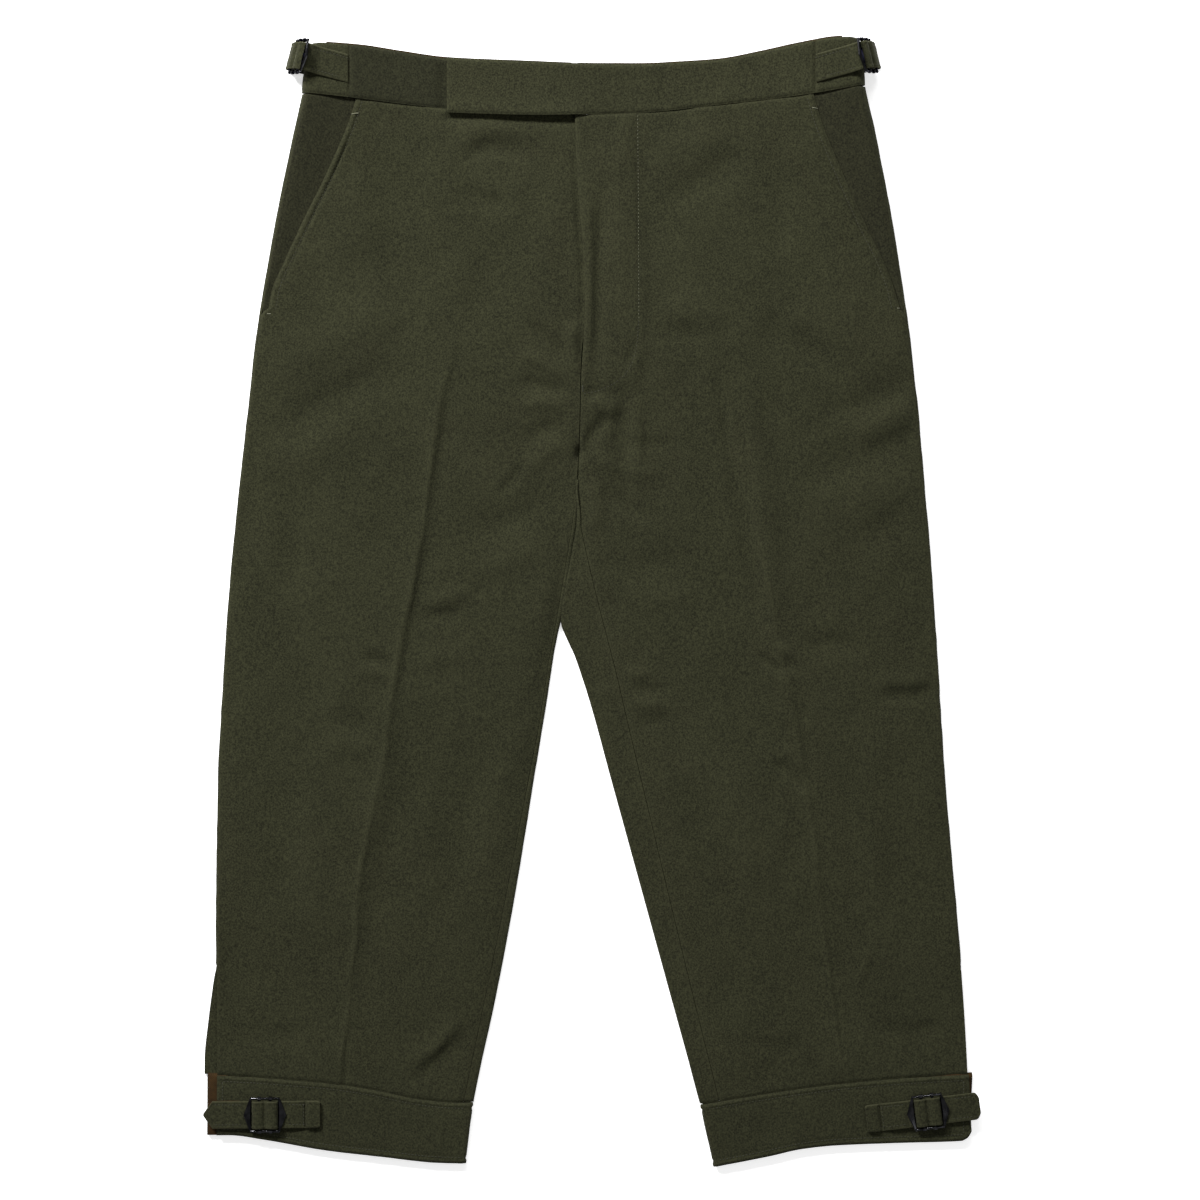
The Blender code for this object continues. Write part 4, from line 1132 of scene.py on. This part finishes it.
def rod(start, end, radius, sides=12):
    """Points and faces of a round rod with softly rounded ends."""
    start, end = np.array(start, float), np.array(end, float)
    length = np.linalg.norm(end - start)
    along = unit(end - start)
    side = np.cross(along, [0, 0, 1.0])
    around = radius * circle(sides, side, np.cross(side, along))
    stops = [(0, 0.55), (0.25, 0.86), (0.6, 1.0)]
    stops += [(length - distance, size) for distance, size in stops[::-1]]
    points = np.vstack([start + along * distance + size * around for distance, size in stops])
    return points, tube_faces(len(stops), sides)


def ring(x, y, major, minor, steps=16, sides=8):
    """Points and faces of a small ring round a rod along x."""
    points = []
    for turn in 2 * np.pi * np.arange(steps) / steps:
        out = np.array([0, math.cos(turn), math.sin(turn)])
        points.append(np.array([x, y, 0]) + major * out + minor * circle(sides, out, np.array([-1, 0, 0])))
    return np.vstack(points), tube_faces(steps, sides, closed=True)


def side_plate(side):
    """A pointed end plate, folded along its middle so that each half is a facet."""
    half, top, inner = BUCKLE_LENGTH / 2, BUCKLE_HEIGHT / 2, WINDOW
    shoulder = 11.4
    outline = [(inner, -top + 1.6, 0.0), (shoulder, -top + 1.0, 0.0), (half, 0, 0.0),
               (shoulder, top - 1.0, 0.0), (inner, top - 1.6, 0.0), (inner, 0, 0.0)]
    crown = [(inner + 0.55, -top + 3.4, 0.38), (shoulder + 0.2, -top + 2.8, 0.42), (half - 1.5, 0, 0.62),
             (shoulder + 0.2, top - 2.8, 0.42), (inner + 0.55, top - 3.4, 0.38), (inner + 0.9, 0, 0.8)]
    points, faces = [], []
    for level, ring_points in ((-PLATE / 2, outline), (PLATE / 2 - 0.3, outline), (PLATE / 2 - 0.1, crown)):
        for x, y, lift in ring_points:
            points.append(np.array([side * x, y, level + lift]))
    count = len(outline)
    for layer in (0, 1):
        for k in range(count):
            a, b = layer * count + k, layer * count + (k + 1) % count
            faces.append([a, b, b + count, a + count])
    top_ring = [2 * count + k for k in range(count)]
    faces.append([top_ring[0], top_ring[1], top_ring[2], top_ring[5]])
    faces.append([top_ring[5], top_ring[2], top_ring[3], top_ring[4]])
    faces.append(list(range(count))[::-1])
    if side < 0:
        faces = [face[::-1] for face in faces]
    return points, faces


def buckle(node, base, heading, middle, tilt, material):
    """A slide buckle: two pointed plates, a rod along each edge, and two bars hooked on the rods."""
    edge = BUCKLE_HEIGHT / 2 - 1.0
    parts = [side_plate(-1), side_plate(1)]
    for y in (-edge, edge):
        parts.append(rod((-11.2, y, 0), (11.2, y, 0), 0.85))
        parts += [ring(x, y, 0.75, 0.5) for x in (-10.6, 10.6)]
        for x in (-BAR_OFFSET, BAR_OFFSET):
            parts += [ring(x + shift, y, 1.2, 0.45) for shift in (-0.9, -0.3, 0.3, 0.9)]
    parts += [rod((x, -edge + 0.6, 0), (x, edge - 0.6, 0), 0.72) for x in (-BAR_OFFSET, BAR_OFFSET)]
    points, faces = join(parts)
    turn = np.array(Matrix.Rotation(heading, 3, "Z") @ Matrix.Rotation(tilt, 3, "Y"))
    place = np.array([*base, middle[1]]) + middle[0] * np.array([math.cos(heading), math.sin(heading), 0])
    piece = new_piece(f"{node}_metal", points @ turn.T + place, faces, material, crease=32)
    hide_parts(node)


# ---------------------------------------------------------------- straps through their buckles

def waist_adjuster(waist, cloth, metal, thread):
    """Two straps looped into a buckle that stands at the band's side."""
    heading = math.pi - ADJUSTER_TURN if waist.side < 0 else ADJUSTER_TURN
    middle = (waist.buckle - 0.6, 15.5)
    outward = waist.buckle - 38.5
    rise = [(0.3, 15.4), (4, 16.5), (8, 17.4), (16 + outward, 18.7), (22 + outward, 19.8),
            (26 + outward, 21.8), (29 + outward, 23.7)]
    track = strap_track(waist.adjuster, heading, rise + weave(middle, BUCKLE_TILT, NEAR_LOOP, -1))
    node = f"waist_strap_front_{waist.name}"
    shear = waist.side * math.tan(ADJUSTER_TURN)
    piece = strap_piece(f"{node}_cloth", track, lambda s: STRAP_WIDTH, STRAP, 0, cloth, 131, shear=shear)
    declare_strap(node)
    pairs = strap_stitches(track, 1.2, 27 + outward, STRAP_WIDTH / 2, STRAP)
    stitches(f"{node}_stitches", pairs, thread, 0.24, 0.16)
    under = [(42.0 + outward, 0.9), (38 + outward, 0.75), (34, 0.75), (20, 0.75), (0, 0.75), (-22, 0.75)]
    track = strap_track(waist.adjuster, heading, weave(middle, BUCKLE_TILT, FAR_LOOP) + under)
    node = f"waist_strap_back_{waist.name}"
    piece = strap_piece(f"{node}_cloth", track, lambda s: STRAP_WIDTH, STRAP - 0.05, 0, cloth)
    declare_strap(node)
    buckle(f"waist_buckle_{waist.name}", waist.adjuster, heading, middle, BUCKLE_TILT, metal)


def knee_strap(strap, cloth, backing, metal, thread):
    """A strap sewn to the knee band, woven through its buckle and on to its point."""
    node = f"knee_strap_{strap.name}"
    start = CUFF_HEIGHT + GAP + STRAP / 2
    level = start + KNEE_LIFT
    middle = (strap.buckle, level - STRAP_UNDER)
    knots = [(0, start), (10, start), (17, mix(start, level, 0.6)), (23, level)]
    knots += weave(middle, 0, KNEE_WEAVE, -1) + weave(middle, 0, ((0, -0.1),) + KNEE_WEAVE[::-1])
    knots += [(strap.length - strap.point, level), (strap.length, level)]
    track = strap_track(strap.base, strap.heading, knots)
    total = track.distances[-1]

    def width(distance):
        past = max((distance - (total - strap.point)) / strap.point, 0)
        corners = 1 - 0.09 * (1 - float(ease(distance / 1.8)))
        return STRAP_WIDTH * corners * (1 - 0.93 * past if strap.name == "right" else 1 - 0.45 * past ** 2)

    def lining_width(distance):
        shows = total - strap.length + strap.buckle + 15 if strap.name == "right" else total - 7
        return width(distance) + mix(-0.9, 0.5, float(ease((distance - shows) / 6)))

    piece = strap_piece(f"{node}_cloth", track, width, 1.0, 0.22, cloth, 141, 1.6)
    declare_strap(node)
    lining = strap_piece(f"{node}_backing", track, lining_width, 0.42, -0.5, backing)
    first = strap_stitches(track, 1.0, strap.buckle - 17, STRAP_WIDTH / 2, 1.5)
    last = strap_stitches(track, total - strap.length + strap.buckle + 18, total - strap.point - 2,
                          STRAP_WIDTH / 2, 1.5)
    box = []
    for distance in (1.6, 12.4):
        for aside in np.arange(-7.6, 6.2, 2.6):
            box.append([place_on(track, distance, aside + step, 1.1) for step in (0, 1.6)])
    stitches(f"{node}_stitches", first + last + box, thread, 0.24, 0.16)
    buckle(f"knee_buckle_{strap.name}", strap.base, strap.heading, middle, 0, metal)


# ---------------------------------------------------------------- materials

class Nodes:
    """Short calls for a material's nodes."""

    def __init__(self, name):
        self.material = bpy.data.materials.new(name)
        self.material.use_nodes = True
        self.tree = self.material.node_tree
        self.shader = self.tree.nodes["Principled BSDF"]
        self.place = self.add("ShaderNodeTexCoord", {}).outputs["Object"]

    def feed(self, node, sockets):
        """Give a node's sockets their values, or link them to other nodes' outputs."""
        for key, value in sockets.items():
            if isinstance(value, bpy.types.NodeSocket):
                self.tree.links.new(value, node.inputs[key])
            else:
                node.inputs[key].default_value = value

    def shade(self, **sockets):
        """Feed the shader's own sockets, whose names have spaces for underscores."""
        self.feed(self.shader, {key.replace("_", " "): value for key, value in sockets.items()})

    def add(self, kind, sockets, **settings):
        node = self.tree.nodes.new(kind)
        for key, value in settings.items():
            setattr(node, key, value)
        self.feed(node, sockets)
        return node

    def noise(self, size, detail=2.0, stretch=(1, 1, 1), rough=0.5):
        """Noise from 0 to 1 with features about this many millimetres across."""
        mapping = self.add("ShaderNodeMapping", {"Scale": stretch, "Vector": self.place})
        sockets = {"Scale": 1 / (size * MM), "Detail": detail, "Roughness": rough,
                   "Vector": mapping.outputs["Vector"]}
        return self.add("ShaderNodeTexNoise", sockets).outputs["Fac"]

    def map(self, value, low, high, to_low, to_high):
        sockets = {"From Min": low, "From Max": high, "To Min": to_low, "To Max": to_high, "Value": value}
        return self.add("ShaderNodeMapRange", sockets).outputs["Result"]

    def sum(self, first, *others):
        for other in others:
            first = self.add("ShaderNodeMath", {0: first, 1: other}, operation="ADD").outputs["Value"]
        return first

    def blend(self, share, a, b):
        """Colour mixed from a to b."""
        colours = [(*value, 1) if isinstance(value, tuple) else value for value in (a, b)]
        sockets = {"Factor": share, 6: colours[0], 7: colours[1]}
        return self.add("ShaderNodeMix", sockets, data_type="RGBA").outputs[2]

    def bump(self, height, distance, strength=1.0, **after):
        sockets = {"Strength": strength, "Distance": distance * MM, "Height": height, **after}
        return self.add("ShaderNodeBump", sockets).outputs["Normal"]


def tinted(colour, by):
    """A colour times a number, or times a number for each channel."""
    return tuple(np.multiply(colour, by).tolist())


def moleskin(name, tone):
    """Brushed heavy cotton: a short matt nap with faint streaks, paler along edges, partly from wear and
    partly as painted highlight, and paler on crests and ridges as painted highlight.
    """
    base = tinted((0.0205, 0.0212, 0.0103), tone)
    nodes = Nodes(name)
    grain = nodes.noise(1.25, 1.0, (1.0, 0.85, 1.0), 0.6)
    fleck = nodes.noise(0.75, 1.0, (1.0, 0.8, 1.0))
    streaks = nodes.noise(2.8, 1.0, (1.0, 0.5, 1.0))
    patches = nodes.noise(30, 3.0, (1.0, 0.6, 1.0), 0.55)
    mixed = nodes.sum(nodes.map(grain, 0.36, 0.64, 0.0, 0.5), nodes.map(fleck, 0.34, 0.66, 0.0, 0.3),
                      nodes.map(streaks, 0.35, 0.65, 0.0, 0.1), nodes.map(patches, 0.3, 0.7, 0.0, 0.1))
    colour = nodes.blend(mixed, tinted(base, 0.28), tinted(base, 1.72))
    wear = nodes.add("ShaderNodeAttribute", {}, attribute_name="wear").outputs["Fac"]
    # The pale colour mixed in here by the attribute is partly wear along edges and partly painted highlight
    # on edges, crests and ridges.
    colour = nodes.blend(nodes.map(wear, 0.0, 1.0, 0.0, 0.75), colour, tinted((0.05, 0.05, 0.026), tone))
    fine = nodes.bump(nodes.noise(0.7, 3.0, (1.0, 0.8, 1.0), 0.7), 0.2, 1.0)
    soft = nodes.bump(nodes.noise(3.6, 3.0, (1.0, 0.7, 1.0)), 0.4, 0.9, Normal=fine)
    nodes.shade(Base_Color=colour, Roughness=nodes.map(grain, 0.2, 0.8, 0.88, 0.98), Normal=soft,
                Sheen_Weight=0.04, Sheen_Roughness=0.6, Sheen_Tint=(0.75, 0.75, 0.5, 1),
                Specular_IOR_Level=0.08)
    return nodes.material


def tan_cotton(name):
    """Plain brown lining with a fine diagonal twill, coloured darker than its own brown as painted shade."""
    nodes = Nodes(name)
    sockets = {"Scale": 420, "Distortion": 1.2, "Vector": nodes.place}
    twill = nodes.add("ShaderNodeTexWave", sockets, bands_direction="DIAGONAL").outputs["Fac"]
    patches = nodes.noise(6, 3.0)
    mixed = nodes.sum(nodes.map(twill, 0, 1, 0.0, 0.35), nodes.map(patches, 0.3, 0.7, 0.0, 0.65))
    # Both colours are the lining's brown made darker as painted shade, for the shade it lies in at the vents.
    nodes.shade(Base_Color=nodes.blend(mixed, (0.011, 0.006, 0.002), (0.042, 0.023, 0.0075)),
                Roughness=nodes.map(patches, 0, 1, 0.8, 0.95), Normal=nodes.bump(twill, 0.12, 0.7),
                Specular_IOR_Level=0.1)
    return nodes.material


def sewing_thread(name, colour):
    """Twisted cotton thread."""
    nodes = Nodes(name)
    twist = nodes.noise(0.5, 2.0)
    nodes.shade(Base_Color=nodes.blend(twist, tinted(colour, 0.7), tinted(colour, 1.25)),
                Normal=nodes.bump(twist, 0.08, 0.6), Roughness=0.8)
    return nodes.material


def gunmetal(name):
    """Dark plated metal with fine rubbing and paler worn spots."""
    nodes = Nodes(name)
    rub = nodes.noise(0.9, 4.0, (1.0, 3.0, 1.0), 0.6)
    cloud = nodes.map(nodes.noise(5.0, 2.0), 0.35, 0.7, 0, 1)
    nodes.shade(Base_Color=nodes.blend(cloud, (0.022, 0.022, 0.024), (0.055, 0.055, 0.059)),
                Roughness=nodes.map(rub, 0.3, 0.7, 0.11, 0.22), Normal=nodes.bump(rub, 0.03, 0.35),
                Metallic=1.0, Specular_Tint=(0.3, 0.3, 0.32, 1))
    return nodes.material


def floor_with_painted_glow():
    """Pale paper with a painted glow: it gives off a little light of its own, so that it keeps no shadow."""
    nodes = Nodes("pale_floor")
    nodes.shade(Base_Color=nodes.blend(nodes.noise(180, 2.0), (0.91, 0.91, 0.91), (0.94, 0.94, 0.94)),
                # Painted glow: the emission fills in the shadow the breeches would cast on the floor.
                Roughness=0.9, Specular_IOR_Level=0.1, Emission_Color=(1, 1, 1, 1), Emission_Strength=0.55)
    return nodes.material


# ---------------------------------------------------------------- sewing lines

def leg_stitches(leg, thread, pale):
    front = f"front_{leg.name}_cloth"
    stitches(f"pocket_stitches_{leg.name}", sewn_line(front, pocket_line(leg, 5.4)), thread, 0.26, 0.16)
    heading = 0.15 if leg.side < 0 else math.pi - 0.15
    tacks = bar_tack(front, leg.pocket(366) - leg.side * 2.4, 366.0 if leg.side < 0 else 370.0, 5.5, heading)
    tacks += bar_tack(front, leg.pocket(219) - leg.side * 0.5, 216.4 if leg.side < 0 else 220.6, 2.6, 0.0)
    stitches(f"pocket_tacks_{leg.name}", tacks, pale, 0.31, 0.3)


def fly_stitches(thread, pale):
    straight, bend = J_STITCH[:3], J_STITCH[2:]
    stitches("fly_stitches", sewn_line("front_left_cloth", straight, 2.7, 1.4), pale, 0.2, 0.12)
    tonal = sewn_line("front_left_cloth", bend, 2.6, 1.6)
    tonal += bar_tack("front_left_cloth", -6.2, 160.5, 4.5, math.radians(96))
    stitches("fly_bend_stitches", tonal, thread, 0.24, 0.14)


def cuff_stitches(leg, thread):
    band = f"knee_band_{leg.name}_cloth"
    cuff = CUFFS[leg.name]
    start, end = cuff.vent[0] - leg.side * 4.2, cuff.inner[0] + leg.side * 5
    top = [(x, hem_line(leg, x) - 4.3) for x in np.linspace(start, end, 12)]
    low = [(x, cuff.bottom(x) + 3.8) for x in np.linspace(start, cuff.inner[1] + leg.side * 4, 12)]
    pairs = sewn_line(band, top) + sewn_line(band, low)
    pairs += sewn_line(band, [(start, top[0][1]), (start, mix(top[0][1], low[0][1], 0.5)),
                              (start, low[0][1])])
    stitches(f"knee_band_stitches_{leg.name}", pairs, thread, 0.3, 0.2)


# ---------------------------------------------------------------- floor, light and camera

def stage():
    bpy.ops.mesh.primitive_plane_add(size=9, location=(0, 0, -0.0004))
    floor = bpy.context.object
    floor.name = "floor"
    floor.data.materials.append(floor_with_painted_glow())


def softbox(name, place, size, watts, height=None):
    light = bpy.data.lights.new(name, "AREA")
    light.shape = "ELLIPSE"
    light.size = size
    light.size_y = height or size
    light.energy = watts
    lamp = bpy.data.objects.new(name, light)
    lamp.location = place
    lamp.rotation_euler = (-Vector(place)).to_track_quat("-Z", "Y").to_euler()
    bpy.context.scene.collection.objects.link(lamp)


def lights():
    softbox("key", (-1.55, 2.1, 1.8), 0.8, 178)
    softbox("strip", (0.0, 1.7, 1.45), 1.4, 22, 0.07)
    softbox("fill", (1.7, -1.1, 2.2), 2.2, 17)
    world = bpy.data.worlds.new("studio")
    world.use_nodes = True
    world.node_tree.nodes["Background"].inputs["Color"].default_value = (1, 1, 1, 1)
    world.node_tree.nodes["Background"].inputs["Strength"].default_value = 0.24
    bpy.context.scene.world = world
    bpy.context.scene.view_settings.view_transform = "Standard"


def camera():
    """Straight down over the middle of the view, far enough for a long lens."""
    data = bpy.data.cameras.new("camera")
    data.lens = 100
    data.sensor_width = 36
    eye = bpy.data.objects.new("camera", data)
    eye.location = (5.95 * MM, 1.6 * MM, 2.508)
    bpy.context.scene.collection.objects.link(eye)
    bpy.context.scene.camera = eye


# ---------------------------------------------------------------- the whole scene

def build():
    body = moleskin("moleskin_body", (0.89, 0.89, 0.885))
    band = moleskin("moleskin_band", (0.93, 0.93, 0.93))
    # A darker copy of the band moleskin, used for the right front of the band: painted shade for that piece's
    # slope away from the key light.
    under = moleskin("moleskin_under_band", (0.66, 0.66, 0.68))
    cuff = moleskin("moleskin_cuff", (0.86, 0.86, 0.86))
    # A darker copy of the moleskin for the pocket facings: partly the facings' own darker tone, partly
    # painted shade of their slope at the hips.
    hip = moleskin("moleskin_hip", (0.66, 0.645, 0.67))
    cotton = tan_cotton("tan_lining")
    metal = gunmetal("gunmetal_plate")
    thread = sewing_thread("olive_thread", (0.021, 0.0215, 0.0105))
    pale = sewing_thread("pale_thread", (0.11, 0.11, 0.07))
    for leg in (RIGHT, LEFT):
        front_panel(leg, body)
        back_panel(leg, body)
        pocket_facing(leg, hip)
        knee_band(leg, cuff)
        knee_band_lining(leg, cotton)
        leg_stitches(leg, thread, pale)
        cuff_stitches(leg, thread)
    fly_stitches(thread, pale)
    right, left = WAISTS
    waist_front("waistband_front_right", right.seam + GAP / 2, -15.0, 90, level, level, level, TAB_FOOT,
                under, 151)
    waist_front("waistband_front_left", TAB_END, left.seam - GAP / 2, 130, tab_lift, tab_drop, tab_lip, [],
                band, 161)
    waist_lining("waistband_lining_right", -198.0, -15.0, cotton)
    waist_lining("waistband_lining_left", -10.0, 188.0, cotton)
    for waist in WAISTS:
        waist_back(waist, band)
        waist_adjuster(waist, band, metal, thread)
    for strap in KNEE_STRAPS:
        knee_strap(strap, cuff, cotton, metal, thread)


build()
stage()
lights()
camera()
